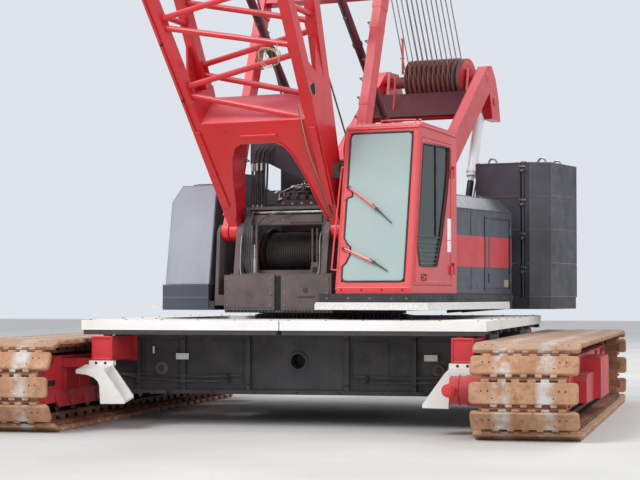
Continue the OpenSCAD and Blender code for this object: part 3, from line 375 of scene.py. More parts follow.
# ---------------------------------------------------------------- mesh pieces
class Piece:
    """Collects closed shapes in one mesh that rides on one body."""

    def __init__(self, name, body, mats, at=None):
        self.name, self.body, self.mats = name, body, mats
        self.at = at or Matrix.Identity(4)
        self.v, self.f, self.k = [], [], []

    def add(self, vs, fs, mat=0, at=None):
        o = len(self.v)
        t = self.at @ at if at is not None else self.at
        self.v.extend(t @ Vector(p) for p in vs)
        self.f.extend([i + o for i in f] for f in fs)
        self.k.extend([mat] * len(fs))

    def box(self, a, b, mat=0, c=0.006, at=None):
        lo = [min(a[i], b[i]) for i in range(3)]
        hi = [max(a[i], b[i]) for i in range(3)]
        c = min(c, *[(hi[i] - lo[i]) * 0.3 for i in range(3)])
        mid = [(lo[i] + hi[i]) / 2 for i in range(3)]
        half = [(hi[i] - lo[i]) / 2 for i in range(3)]
        idx, vs = {}, []
        for sx in (-1, 1):
            for sy in (-1, 1):
                for sz in (-1, 1):
                    s = (sx, sy, sz)
                    for k in range(3):
                        p = [mid[i] + s[i] * (half[i] - (0 if i == k else c)) for i in range(3)]
                        idx[(s, k)] = len(vs)
                        vs.append(p)
        fs = []
        for k in range(3):
            i, j = [q for q in range(3) if q != k]
            for s in (-1, 1):
                ring = []
                for si, sj in ((-1, -1), (1, -1), (1, 1), (-1, 1)):
                    q = [0, 0, 0]
                    q[k], q[i], q[j] = s, si, sj
                    ring.append(idx[(tuple(q), k)])
                fs.append(ring)
        for k in range(3):
            i, j = [q for q in range(3) if q != k]
            for si in (-1, 1):
                for sj in (-1, 1):
                    q0, q1 = [0, 0, 0], [0, 0, 0]
                    q0[k], q1[k] = -1, 1
                    q0[i] = q1[i] = si
                    q0[j] = q1[j] = sj
                    fs.append([idx[(tuple(q0), i)], idx[(tuple(q0), j)], idx[(tuple(q1), j)], idx[(tuple(q1), i)]])
        for sx in (-1, 1):
            for sy in (-1, 1):
                for sz in (-1, 1):
                    s = (sx, sy, sz)
                    fs.append([idx[(s, 0)], idx[(s, 1)], idx[(s, 2)]])
        self.add(vs, fs, mat, at)

    @staticmethod
    def frame_of(d):
        d = Vector(d).normalized()
        a = Vector((1, 0, 0)) if abs(d.x) < 0.9 else Vector((0, 1, 0))
        u = d.cross(a).normalized()
        return u, d.cross(u).normalized(), d

    def cyl(self, p, q, r, mat=0, n=16, r2=None, c=0.0, at=None):
        p, q = Vector(p), Vector(q)
        u, w, d = self.frame_of(q - p)
        r2 = r if r2 is None else r2
        h = (q - p).length
        rings = [(0, r - c), (c, r), (h - c, r2), (h, r2 - c)] if c else [(0, r), (h, r2)]
        vs, fs = [], []
        for z, rr in rings:
            for i in range(n):
                a = 2 * math.pi * i / n
                vs.append(p + d * z + (u * math.cos(a) + w * math.sin(a)) * rr)
        m = len(rings)
        for j in range(m - 1):
            for i in range(n):
                fs.append([j * n + i, j * n + (i + 1) % n, (j + 1) * n + (i + 1) % n, (j + 1) * n + i])
        fs.append(list(range(n))[::-1])
        fs.append([(m - 1) * n + i for i in range(n)])
        self.add(vs, fs, mat, at)

    def tube(self, pts, r, mat=0, n=8, at=None, closed=False):
        pts = [Vector(p) for p in pts]
        m = len(pts)
        vs, fs, u = [], [], None
        for i, p in enumerate(pts):
            if closed:
                d = pts[(i + 1) % m] - pts[i - 1]
            else:
                d = pts[min(i + 1, m - 1)] - pts[max(i - 1, 0)]
            d.normalize()
            if u is None:
                u = self.frame_of(d)[0]
            u = (u - d * u.dot(d)).normalized()
            w = d.cross(u)
            for k in range(n):
                a = 2 * math.pi * k / n
                vs.append(p + (u * math.cos(a) + w * math.sin(a)) * r)
        for j in range(m if closed else m - 1):
            for k in range(n):
                j2 = (j + 1) % m
                fs.append([j * n + k, j * n + (k + 1) % n, j2 * n + (k + 1) % n, j2 * n + k])
        if not closed:
            fs.append(list(range(n))[::-1])
            fs.append([(m - 1) * n + k for k in range(n)])
        self.add(vs, fs, mat, at)

    def curve(self, pts, r, mat=0, n=8, steps=8, at=None):
        """A smooth hose or bent bar through the points."""
        pts = [Vector(p) for p in pts]
        q = [pts[0] * 2 - pts[1]] + pts + [pts[-1] * 2 - pts[-2]]
        out = []
        for i in range(1, len(q) - 2):
            a, b, c, d = q[i - 1], q[i], q[i + 1], q[i + 2]
            for s in range(steps):
                t = s / steps
                out.append(0.5 * ((2 * b) + (c - a) * t + (2 * a - 5 * b + 4 * c - d) * t * t + (3 * b - a - 3 * c + d) * t ** 3))
        out.append(pts[-1])
        self.tube(out, r, mat, n, at)

    def prism(self, pts, plane, a, b, mat=0, at=None, c=0.0):
        """Polygon given in the named plane, extruded from a to b along the third axis, edges eased by c."""
        put = {"yz": lambda p, t: (t, p[0], p[1]), "xz": lambda p, t: (p[0], t, p[1]), "xy": lambda p, t: (p[0], p[1], t)}[plane]
        n = len(pts)
        if c:
            area = sum(pts[i][0] * pts[(i + 1) % n][1] - pts[(i + 1) % n][0] * pts[i][1] for i in range(n)) / 2
            s = 1 if area > 0 else -1
            inner = []
            for i in range(n):
                p0, p1, p2 = Vector(pts[i - 1]), Vector(pts[i]), Vector(pts[(i + 1) % n])
                d1, d2 = (p1 - p0).normalized(), (p2 - p1).normalized()
                n1, n2 = Vector((-d1.y, d1.x)) * s, Vector((-d2.y, d2.x)) * s
                m = n1 + n2
                k = c / max(0.35, (1 + n1.dot(n2)))
                inner.append(p1 + m * k)
            e = c if b > a else -c
            rings = [(inner, a), (pts, a + e), (pts, b - e), (inner, b)]
        else:
            rings = [(pts, a), (pts, b)]
        vs, fs = [], []
        for ring, t in rings:
            vs += [put(p, t) for p in ring]
        for j in range(len(rings) - 1):
            for i in range(n):
                fs.append([j * n + i, j * n + (i + 1) % n, (j + 1) * n + (i + 1) % n, (j + 1) * n + i])
        fs.append(list(range(n))[::-1])
        fs.append([(len(rings) - 1) * n + i for i in range(n)])
        self.add(vs, fs, mat, at)

    def lathe(self, prof, p, d, mat=0, n=32, at=None):
        """Closed profile of (radius, height) turned about the line from p along d."""
        p = Vector(p)
        u, w, d = self.frame_of(d)
        m = len(prof)
        vs, fs = [], []
        for i in range(n):
            a = 2 * math.pi * i / n
            e = u * math.cos(a) + w * math.sin(a)
            vs += [p + e * r + d * h for r, h in prof]
        for i in range(n):
            i2 = (i + 1) % n
            for j in range(m):
                j2 = (j + 1) % m
                fs.append([i * m + j, i * m + j2, i2 * m + j2, i2 * m + j])
        self.add(vs, fs, mat, at)

    def bolt(self, p, d, r=0.016, h=0.014, mat=0, at=None):
        p, d = Vector(p), Vector(d).normalized()
        self.cyl(p - d * 0.004, p + d * 0.003, r * 1.45, mat, 14, at=at)
        self.cyl(p, p + d * h, r, mat, 6, c=h * 0.2, at=at)

    def done(self, replaces=(), sharp=34, ride=True):
        me = bpy.data.meshes.new(self.name)
        me.from_pydata([tuple(p) for p in self.v], [], self.f)
        for m in self.mats:
            me.materials.append(m)
        me.polygons.foreach_set("material_index", self.k)
        bm = bmesh.new()
        bm.from_mesh(me)
        bmesh.ops.recalc_face_normals(bm, faces=bm.faces)
        bm.to_mesh(me)
        bm.free()
        me.polygons.foreach_set("use_smooth", [True] * len(me.polygons))
        me.set_sharp_from_angle(angle=math.radians(sharp))
        me.update()
        o = bpy.data.objects.new(self.name, me)
        bpy.context.scene.collection.objects.link(o)
        if ride:
            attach(o, self.body)
        if replaces:
            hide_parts(*replaces)
        return o


def both(fn):
    for s in (1, -1):
        fn(s)


def rounded(x0, x1, y0, y1, r, k=5):
    out = []
    for cx, cy, a0 in ((x1 - r, y1 - r, 0), (x0 + r, y1 - r, 90), (x0 + r, y0 + r, 180), (x1 - r, y0 + r, 270)):
        for i in range(k):
            a = math.radians(a0 + 90 * i / (k - 1))
            out.append((cx + r * math.cos(a), cy + r * math.sin(a)))
    return out


# ---------------------------------------------------------------- CAD nodes' finish
LOOK = {
    "carbody": "dark", "slew_ring": "ring", "crawler_frame_left": "red_low", "crawler_frame_right": "red_low",
    "cross_beams": "dark", "tie_down_lugs": "dark", "rollers_left": "oily", "rollers_right": "oily", "final_drives": "red_low", "jack_arms": "red_low",
    "step_brackets": "pale", "walkways": "walk", "bed": "bed", "deck": "dark", "catwalk": "grip", "drum_frame": "brown",
    "house_left": "grey", "house_right": "slate", "engine": "dark", "cab_shell": "cab", "cab_glass": "glass",
    "seat": "fabric", "console": "plastic", "counterweight_tray": "dark", "counterweight_left": "weight",
    "counterweight_right": "weight", "gantry": "red", "gantry_struts": "white", "front_drum": "oily", "rear_drum": "oily",
    "luffing_drum": "oily", "gantry_sheaves": "sheave", "cab_door": "cab", "cab_door_glass": "glass",
    "house_door_left": "grey", "house_door_right": "slate", "boom_butt": "red", "boom_insert": "red", "boom_top": "red",
    "boom_butt_lacing": "red", "boom_insert_lacing": "red", "boom_top_lacing": "red",
    "boom_point_sheaves": "oily", "pendants": "wire", "mast": "red", "mast_sheaves": "sheave", "stop_barrels": "maroon",
    "stop_rods": "chrome", "hook_block": "red", "hoist_falls": "wire", "track_left": "track", "track_right": "track",
}
for name, key in LOOK.items():
    o = nodes.get(name)
    if o is None:
        continue
    if not o.material_slots:
        o.data.materials.append(M[key])
    for s in o.material_slots:
        s.material = M[key]

# ---------------------------------------------------------------- tracks
GX, END_Y, END_R, SHOE_W, RUN = 3.11, 3.715, 0.55, 1.22, 23
PITCH = 2 * END_Y / RUN


def shoe_places():
    out = []
    for i in range(RUN):
        y = -END_Y + (i + 0.5) * PITCH
        out.append((y, END_R + (END_R - 0.06), 0.0))
        out.append((y, 0.06, 180.0))
    for k in range(5):
        a = -72 + 36 * k
        r = END_R - 0.062
        out.append((END_Y + r * math.cos(math.radians(a)), END_R + r * math.sin(math.radians(a)), a - 90))
        out.append((-END_Y - r * math.cos(math.radians(a)), END_R + r * math.sin(math.radians(a)), 90 - a))
    return out


def track_piece(side):
    name = "track_shoes_right" if side > 0 else "track_shoes_left"
    p = Piece(name, "base", [M["track"], M["chain"], M["hole"], M["oily"], M["gap"]], BASE)
    w = SHOE_W / 2
    plate = rounded(-w, w, -0.122, 0.122, 0.045, 4)
    # knuckles alternate between the two edges of a shoe
    knuckle_a = [-0.43, -0.24, -0.09, 0.09, 0.24, 0.43]
    knuckle_b = [-0.335, -0.165, 0.0, 0.165, 0.335]
    for y, z, deg in shoe_places():
        at = MT(side * GX, y, z) @ MR(deg, "X")
        p.prism(plate, "xy", 0.002, 0.060, 0, at, c=0.012)
        # knuckles along the two edges of the plate
        for x in knuckle_a:
            p.box((x - 0.048, 0.10, 0.004), (x + 0.048, 0.158, 0.044), 0, 0.010, at)
        for x in knuckle_b:
            p.box((x - 0.040, -0.158, 0.004), (x + 0.040, -0.10, 0.044), 0, 0.010, at)
        p.cyl((-0.50, 0.152, 0.022), (0.50, 0.152, 0.022), 0.015, 1, 8, at=at)
        # web between the knuckles, seen in the gap between two shoes, in a darker copy of the track's rust as painted
        # shade
        p.box((-0.475, -0.159, -0.034), (0.475, 0.159, -0.001), 4, 0.004, at)
        # holes of the plate, as near-black discs: painted shade
        for x in (-0.47, -0.395, 0.395, 0.47):
            p.cyl((x, 0.025, 0.052), (x, 0.025, 0.0612), 0.010, 2, 8, at=at)
        for x in (-0.345, 0.335):
            p.cyl((x, -0.055, 0.052), (x, -0.055, 0.0612), 0.009, 2, 8, at=at)
        # chain links behind the plate, with a guide horn between the wheels
        for s in (-1, 1):
            p.box((s * 0.075, -0.148, -0.120), (s * 0.285, 0.146, 0.004), 1, 0.012, at)
            p.box((s * 0.30, -0.060, -0.040), (s * 0.52, 0.060, 0.004), 1, 0.010, at)
        p.prism([(-0.075, -0.118), (0.075, -0.118), (0.040, -0.190), (-0.040, -0.190)], "yz", -0.038, 0.038, 1, at)
        p.box((-0.080, -0.100, -0.118), (0.080, 0.100, 0.004), 1, 0.01, at)
        p.cyl((-0.32, 0.150, -0.060), (0.32, 0.150, -0.060), 0.024, 3, 10, at=at)
    return p.done(("track_right" if side > 0 else "track_left",))


track_piece(1)
track_piece(-1)


def frame_trim(side):
    p = Piece("crawler_trim_right" if side > 0 else "crawler_trim_left", "base",
              [M["red_low"], M["oily"], M["zinc"], M["hole"]], BASE @ MT(side * GX, 0, 0))
    for t in (-1, 1):
        for e in (-1, 1):
            # hub caps with bolt circles
            x = t * 0.350
            p.cyl((x, e * END_Y, END_R), (x + t * 0.022, e * END_Y, END_R), 0.078, 0, 24, c=0.006)
            for k in range(8):
                a = 2 * math.pi * k / 8
                p.bolt((t * 0.310, e * END_Y + 0.150 * math.cos(a), END_R + 0.150 * math.sin(a)), (t, 0, 0), 0.013, 0.012, 2)
            # adjuster slot, a near-black plate as painted shade, and gusset
            y0 = e * 3.34
            p.box((t * 0.310, y0 - 0.12, 0.52), (t * 0.322, y0 + 0.12, 0.59), 3, 0.004)
            p.box((t * 0.310, y0 - 0.13, 0.59), (t * 0.330, y0 + 0.13, 0.615), 0, 0.004)
            p.box((t * 0.310, y0 - 0.13, 0.495), (t * 0.330, y0 + 0.13, 0.52), 0, 0.004)
        # stiffeners and roller bolts along the side plate
        for i in range(13):
            y = -2.88 + i * 0.48
            if i in (0, 1, 10, 12) and not (t * side > 0 and -1.55 < y < 1.15):
                p.box((t * 0.309, y - 0.014, 0.47), (t * 0.340, y + 0.014, 0.86), 0, 0.004)
            if i < 12 and not (t * side > 0 and -1.8 < y < 1.15):
                p.cyl((t * 0.308, y + 0.24, 0.324), (t * 0.332, y + 0.24, 0.324), 0.058, 0, 18, c=0.006)
        p.box((t * 0.309, -3.0, 0.868), (t * 0.352, 3.0, 0.884), 0, 0.004)
        p.box((t * 0.309, -3.0, 0.455), (t * 0.340, 3.0, 0.472), 0, 0.004)
    return p.done()


frame_trim(1)
frame_trim(-1)

# ---------------------------------------------------------------- carbody and what stands on it
p = Piece("carbody_trim", "base", [M["dark"], M["tan"], M["pale"], M["oily"], M["hole"], M["bed"], M["hose"]], BASE)
for s in (-1, 1):
    y = s * 2.0
    p.lathe([(0.094, -0.004), (0.128, -0.004), (0.128, 0.016), (0.110, 0.022), (0.094, 0.016)], (0, y, 0.80), (0, s, 0), 0, 32)
    for x in (-2.1, -1.5, -0.64, 0.64, 1.5, 2.1):
        for z in (0.50, 1.08):
            p.bolt((x, y + s * 0.062, z), (0, s, 0), 0.013, 0.012, 3)
    for x0, x1 in ((-2.07, -1.53), (-1.22, -0.67), (0.67, 1.22), (1.53, 2.07)):
        # stiffened panels between the ribs
        p.prism([(x0 + 0.05, 0.50), (x1 - 0.05, 0.50), (x1 - 0.05, 1.06), (x0 + 0.05, 1.06)], "xz", y - s * 0.004, y + s * 0.010, 0, c=0.004)
    for i in range(9):
        x = -2.2 + i * 0.55
        p.bolt((x, y + s * 0.07, 0.405), (0, s, 0), 0.010, 0.009, 3)
    # pinned joint of each cross beam: doubler, round cover and a small cast boss
    for x in (-1.80, 1.80):
        p.cyl((x, y + s * 0.006, 0.70), (x, y + s * 0.034, 0.70), 0.085, 5, 28, c=0.008)
        p.cyl((x, y + s * 0.030, 0.70), (x, y + s * 0.048, 0.70), 0.040, 0, 20, c=0.006)
    # blank plates
    for x in (-1.51, 1.71):
        p.box((x - 0.085, y + s * 0.058, 0.815), (x + 0.085, y + s * 0.070, 0.895), 2, 0.003)
    p.cyl((-1.90, y + s * 0.05, 0.89), (-1.90, y + s * 0.05, 0.98), 0.014, 2, 12)
    p.box((-1.925, y - s * 0.004, 0.92), (-1.875, y + s * 0.05, 0.945), 0, 0.003)
    # hydraulic lines to the drives
    for k in range(2):
        z = 0.56 + k * 0.06
        p.curve([(0.72, y + s * 0.03, z), (1.3, y + s * 0.045, z - 0.02), (1.9, y + s * 0.04, z), (2.36, y + s * 0.03, 0.62)], 0.013, 6, 8, 6)
        p.curve([(-0.72, y + s * 0.03, z), (-1.3, y + s * 0.045, z - 0.02), (-1.9, y + s * 0.04, z), (-2.36, y + s * 0.03, 0.62)], 0.013, 6, 8, 6)
        for x in (-0.9, 0.9):
            p.box((x - 0.02, y, z - 0.03), (x + 0.02, y + s * 0.065, z + 0.012), 3, 0.003)
p.done()

p = Piece("slew_gear", "base", [M["ring"], M["zinc"]], BASE)
for k in range(108):
    a = 2 * math.pi * k / 108
    p.prism([(-0.020, 0), (0.020, 0), (0.011, 0.036), (-0.011, 0.036)], "xy", 1.285, 1.372, 0,
            MR(math.degrees(a), "Z") @ MT(0, 1.028, 0))
for k in range(60):
    a = 2 * math.pi * (k + 0.5) / 60
    p.bolt((1.085 * math.cos(a), 1.085 * math.sin(a), 1.270), (0, 0, 1), 0.017, 0.020, 1)
p.done()

p = Piece("walkway_trim", "base", [M["pale"], M["zinc"], M["dark"]], BASE)
for s in (-1, 1):
    for e in (-1, 1):
        x0, x1 = sorted((s * 0.010, s * 2.528))
        y0, y1 = sorted((e * 1.70, e * 2.998))
        for k in range(6):
            x = x0 + 0.10 + k * (x1 - x0 - 0.2) / 5
            for y in (y0 + 0.05, y1 - 0.05):
                p.bolt((x, y, 1.330), (0, 0, 1), 0.012, 0.008, 1)
        # edge channel and hangers under the boards
        p.box((x0 + 0.02, e * 2.94, 1.150), (x1 - 0.02, e * 2.99, 1.210), 2, 0.004)
        p.box((x0 + 0.02, e * 1.76, 1.150), (x1 - 0.02, e * 1.81, 1.210), 2, 0.004)
        for x in (x0 + 0.12, (x0 + x1) / 2, x1 - 0.12):
            p.box((x - 0.03, e * 1.80, 1.155), (x + 0.03, e * 2.95, 1.206), 2, 0.004)
    for y in (-1.5, -0.75, 0, 0.75, 1.5):
        p.box((s * 1.97, y - 0.03, 1.155), (s * 2.52, y + 0.03, 1.206), 2, 0.004)
        p.bolt((s * 2.49, y, 1.330), (0, 0, 1), 0.012, 0.008, 1)
p.done()

p = Piece("jack_arm_trim", "base", [M["red_low"], M["oily"], M["red"]], BASE)
for s in (-1, 1):
    for e in (-1, 1):
        for y in (2.32, 2.92):
            p.cyl((s * 2.15, e * y, 1.160), (s * 2.27, e * y, 1.160), 0.022, 1, 16, c=0.004)
        # raised frame round the end face, over one flat panel
        p.box((s * 2.134, e * 3.008, 0.850), (s * 2.366, e * 3.0235, 1.106), 0, 0.001)
        for x0, x1, z0, z1 in ((2.116, 2.140, 0.832, 1.130), (2.360, 2.384, 0.832, 1.130), (2.138, 2.362, 1.104, 1.130), (2.138, 2.362, 0.832, 0.856)):
            p.box((s * x0, e * 3.006, z0), (s * x1, e * 3.036, z1), 2, 0.004)
        # edge strips along the sides of the arm
        for x in (2.125, 2.371):
            p.box((s * x, e * 2.12, 1.085), (s * (x + 0.004), e * 2.94, 1.118), 2, 0.001)
            p.box((s * x, e * 2.12, 0.832), (s * (x + 0.004), e * 2.94, 0.858), 2, 0.001)
        # two screws through the bracket's flange
        for x in (2.195, 2.315):
            p.bolt((s * x, e * 3.062, 0.800), (0, e, 0), 0.012, 0.010, 1)
p.done()

p = Piece("drive_trim", "base", [M["red_low"], M["oily"], M["hose"], M["red"]], BASE)
for deg in (0, 180):
    at = MR(deg, "Z")
    # end cover of the gearbox and its screws
    p.cyl((GX - 0.893, -END_Y, END_R), (GX - 0.905, -END_Y, END_R), 0.120, 0, 28, c=0.005, at=at)
    for k in range(8):
        a = 2 * math.pi * (k + 0.5) / 8
        p.bolt((GX - 0.893, -END_Y + 0.142 * math.cos(a), END_R + 0.142 * math.sin(a)), (-1, 0, 0), 0.009, 0.010, 1, at)
    p.lathe([(0.166, 0), (0.176, 0.003), (0.176, 0.018), (0.166, 0.021)], (GX - 0.800, -END_Y, END_R), (1, 0, 0), 0, 32, at)
    # round cap that looks forward
    p.lathe([(0.071, 0), (0.080, 0.003), (0.080, 0.020), (0.071, 0.023)], (GX - 0.888, -END_Y - 0.215, END_R + 0.005), (0, 1, 0), 3, 28, at)
    p.cyl((GX - 0.888, -END_Y - 0.238, END_R + 0.005), (GX - 0.888, -END_Y - 0.250, END_R + 0.005), 0.052, 3, 28, c=0.006, at=at)
    for z in (0.50, 0.60):
        p.curve([(GX - 0.66, -END_Y + 0.47, z), (GX - 0.72, -END_Y + 0.9, z - 0.05), (2.30, -2.5, z - 0.02), (2.20, -2.02, 0.66)], 0.016, 2, 8, 8, at)
p.done()

# ---------------------------------------------------------------- bed and machinery
p = Piece("bed_trim", "upperworks", [M["bed"], M["zinc"], M["hole"], M["dark"], M["brown"], M["steel"]], UP)
# front boxes, with a near-black strip set in the gap between them as painted shade
for x0, x1 in ((-0.785, -0.045), (0.065, 0.785)):
    p.box((x0 + 0.02, -1.606, 1.47), (x1 - 0.02, -1.598, 1.87), 0, 0.003)
    for x in (x0 + 0.05, x1 - 0.05):
        for z in (1.50, 1.66, 1.84):
            p.bolt((x, -1.606, z), (0, -1, 0), 0.013, 0.012, 1)
p.box((-0.042, -1.575, 1.44), (0.062, -1.556, 1.88), 2, 0.002)
p.cyl((0.42, -1.612, 1.70), (0.42, -1.600, 1.70), 0.035, 3, 20, c=0.003)
p.box((0.30, -1.612, 1.60), (0.55, -1.604, 1.625), 3, 0.003)
# lower edge of the bed over the ring gear
p.box((-0.80, -1.57, 1.408), (0.80, -1.53, 1.442), 3, 0.004)
for k in range(30):
    x = -0.77 + k * 1.54 / 29
    p.bolt((x, -1.572, 1.425), (0, -1, 0), 0.008, 0.007, 1)
# side girders of the bed
for s in (-1, 1):
    for k in range(9):
        y = -1.30 + k * 0.55
        if y < 1.5:
            p.box((s * 0.776, y - 0.012, 1.47), (s * 0.800, y + 0.012, 1.87), 0, 0.003)
    # heads of the foot pins with keeper plates
    p.cyl((s * 1.003, -1.30, 2.48), (s * 1.022, -1.30, 2.48), 0.078, 5, 28, c=0.006)
    p.box((s * 0.990, -1.30 - 0.11, 2.385), (s * 1.008, -1.30 + 0.11, 2.43), 1, 0.003)
    p.bolt((s * 1.008, -1.385, 2.405), (s, 0, 0), 0.011, 0.010, 1)
    p.bolt((s * 1.008, -1.215, 2.405), (s, 0, 0), 0.011, 0.010, 1)
    p.lathe([(0.0615, -0.006), (0.112, -0.006), (0.112, 0.008), (0.0615, 0.012)], (s * 0.598, -1.30, 2.48), (-s, 0, 0), 0, 28)
    # grease pipes
    p.curve([(s * 0.59, -1.36, 2.52), (s * 0.58, -1.50, 2.40), (s * 0.585, -1.53, 2.0), (s * 0.56, -1.54, 1.89)], 0.007, 5, 6, 6)
p.done()

# machinery behind the boom foot, seen through its arch
p = Piece("machinery_frame_trim", "upperworks", [M["brown"], M["zinc"], M["bed"], M["hole"], M["steel"], M["dark"]], UP)
p.box((0.075, -1.373, 2.595), (0.30, -1.366, 2.668), 2, 0.002)
p.box((0.315, -1.373, 2.595), (0.53, -1.366, 2.668), 2, 0.002)
for x in (-0.56, -0.40, -0.22, -0.04, 0.56):
    p.bolt((x, -1.345, 2.62), (0, -1, 0), 0.011, 0.010, 1)
p.box((-0.604, -1.352, 2.562), (0.604, -1.343, 2.582), 0, 0.002)
p.cyl((-0.55, -1.30, 2.725), (0.55, -1.30, 2.725), 0.024, 4, 14)
# uprights in front of the drum
p.box((-0.470, -1.445, 1.89), (-0.452, -1.40, 2.56), 0, 0.003)
p.box((-0.405, -1.445, 1.89), (-0.385, -1.40, 2.56), 0, 0.003)
p.box((-0.50, -1.47, 1.89), (-0.34, -1.38, 1.93), 0, 0.004)
for x in (0.435, 0.505):
    p.box((x - 0.009, -1.445, 1.99), (x + 0.009, -1.415, 2.50), 0, 0.003)
p.prism([(0.405, 1.89), (0.56, 1.89), (0.525, 2.06), (0.425, 2.06)], "xz", -1.455, -1.40, 0, c=0.004)
p.box((0.445, -1.458, 1.93), (0.512, -1.452, 2.00), 3, 0.002)
# angle rail and row of studs on the bed
p.box((-0.74, -1.53, 1.890), (0.76, -1.47, 1.918), 2, 0.004)
for k in range(7):
    p.bolt((-0.06 + k * 0.032, -1.50, 1.918), (0, 0, 1), 0.008, 0.024, 1)
p.done()

p = Piece("rear_arch_plate", "upperworks", [M["maroon"], M["dark"], M["zinc"], M["slate"]], UP)
arch = [(-0.56, 2.80), (-0.50, 3.02), (-0.30, 3.22), (0.0, 3.30), (0.30, 3.22), (0.50, 3.02), (0.56, 2.80),
        (0.66, 2.80), (0.66, 3.46), (-0.66, 3.46), (-0.66, 2.80)]
p.prism(arch, "xz", -0.28, -0.25, 1, c=0.004)
# sloping guard plate over the hoses
guard = [(-0.79, 3.74), (-0.24, 3.70), (0.02, 3.36), (0.08, 3.19), (-0.04, 3.20), (-0.257, 3.284), (-0.50, 3.40), (-0.64, 3.42), (-0.79, 3.40)]
p.prism(guard, "xz", -0.90, -0.87, 3, c=0.004)
p.box((-0.785, -0.885, 2.70), (-0.755, -0.860, 3.42), 1, 0.003)
p.prism([(-0.79, 3.74), (-0.24, 3.70), (-0.24, 3.715), (-0.79, 3.755)], "xz", -0.93, -0.80, 3)
for s in (-1, 1):
    p.box((s * 0.58, -0.30, 1.895), (s * 0.66, -0.22, 2.86), 1, 0.006)
    p.box((s * 0.60, -0.26, 3.36), (s * 0.66, -0.15, 3.44), 1, 0.006)
p.box((-0.575, -0.24, 3.40), (0.575, 0.22, 3.43), 1, 0.004)
for k in range(9):
    p.bolt((-0.58 + k * 0.145, -0.281, 3.41), (0, -1, 0), 0.010, 0.009, 2)
p.done()

p = Piece("drum_hoses", "upperworks", [M["hose"], M["steel"], M["zinc"], M["bed"], M["chrome"], M["slate"]], UP)
for k in range(7):
    z = 2.93 + 0.035 * (k % 3)
    y = -0.66 + 0.055 * k
    x1 = 0.16 + 0.06 * (k % 4)
    p.curve([(-0.50 + 0.05 * k, y, 2.60), (-0.47 + 0.06 * k, y, z), (-0.10, y - 0.02, z + 0.09 + 0.012 * k), (x1, y, z + 0.02), (x1 + 0.16, y + 0.03, 2.66)], 0.016, 0, 8, 7)
    p.cyl((-0.50 + 0.05 * k, y, 2.585), (-0.50 + 0.05 * k, y, 2.65), 0.024, 1, 10)
    p.cyl((x1 + 0.16, y + 0.03, 2.62), (x1 + 0.155, y + 0.03, 2.69), 0.024, 1, 10)
# valve bank over the drum
p.box((-0.30, -0.98, 2.805), (0.52, -0.72, 2.90), 3, 0.008)
for k in range(6):
    x = -0.24 + k * 0.14
    p.box((x - 0.045, -0.96, 2.90), (x + 0.045, -0.76, 2.965), 3, 0.008)
    p.cyl((x, -0.86, 2.965), (x, -0.86, 3.01), 0.020, 2, 12, c=0.004)
    p.bolt((x, -0.98, 2.85), (0, -1, 0), 0.014, 0.016, 1)
# thick bundle of black hoses that rises behind the left foot
for k in range(9):
    x = -0.655 + 0.022 * k
    y = -1.06 + 0.03 * (k % 3)
    p.curve([(x, y, 2.60), (x - 0.012 + 0.004 * (k % 4), y + 0.01, 2.90), (x + 0.006 * (k % 3), y - 0.01, 3.25), (x + 0.012, y + 0.02, 3.52), (x + 0.05, y + 0.10, 3.62)], 0.0145, 0, 8, 7)
    if k % 3 == 0:
        p.cyl((x + 0.004, y - 0.006, 3.30), (x + 0.006, y - 0.008, 3.40), 0.020, 4, 10)
        p.cyl((x, y + 0.004, 2.78), (x - 0.004, y + 0.005, 2.84), 0.021, 1, 10)
# steel pipes and unions between the hoses
for k in range(5):
    y = -0.92 + 0.07 * k
    z = 3.03 + 0.030 * (k % 2)
    p.curve([(-0.34 + 0.03 * k, y, 2.93), (-0.30 + 0.03 * k, y, z - 0.02), (-0.05, y, z + 0.05), (0.22, y, z + 0.01), (0.42, y + 0.02, 2.90)], 0.0085, 1 if k % 2 else 4, 8, 7)
for x, z in ((-0.36, 2.99), (-0.30, 2.90), (-0.12, 3.06), (0.05, 3.09), (0.20, 3.02)):
    p.cyl((x, -1.00, z), (x + 0.03, -0.97, z + 0.02), 0.020, 4, 6)
# slate boxes on the frame under them
p.box((-0.50, -0.99, 2.78), (-0.10, -0.74, 2.86), 5, 0.012)
p.box((0.02, -1.00, 2.77), (0.44, -0.76, 2.84), 5, 0.012)
# hoses that drop beside the drum
for k in range(6):
    x = -0.56 + 0.020 * k
    p.curve([(x, -1.36 - 0.014 * (k % 3), 2.74), (x - 0.03, -1.42, 2.55), (x - 0.045 + 0.01 * k, -1.44, 2.25), (x - 0.01, -1.42, 1.99), (x + 0.02, -1.40, 1.90)], 0.011, 0, 8, 7)
p.curve([(-0.45, -1.40, 2.40), (-0.33, -1.43, 2.62), (-0.08, -1.42, 2.715), (0.10, -1.40, 2.70)], 0.010, 0, 8, 8)
p.curve([(0.58, -1.38, 2.58), (0.61, -1.43, 2.40), (0.60, -1.43, 2.15), (0.58, -1.40, 1.91)], 0.012, 0, 8, 7)
p.cyl((-0.425, -1.43, 2.30), (-0.425, -1.43, 2.10), 0.012, 4, 12)
p.cyl((-0.425, -1.43, 2.12), (-0.425, -1.43, 1.93), 0.020, 1, 12)
p.done()


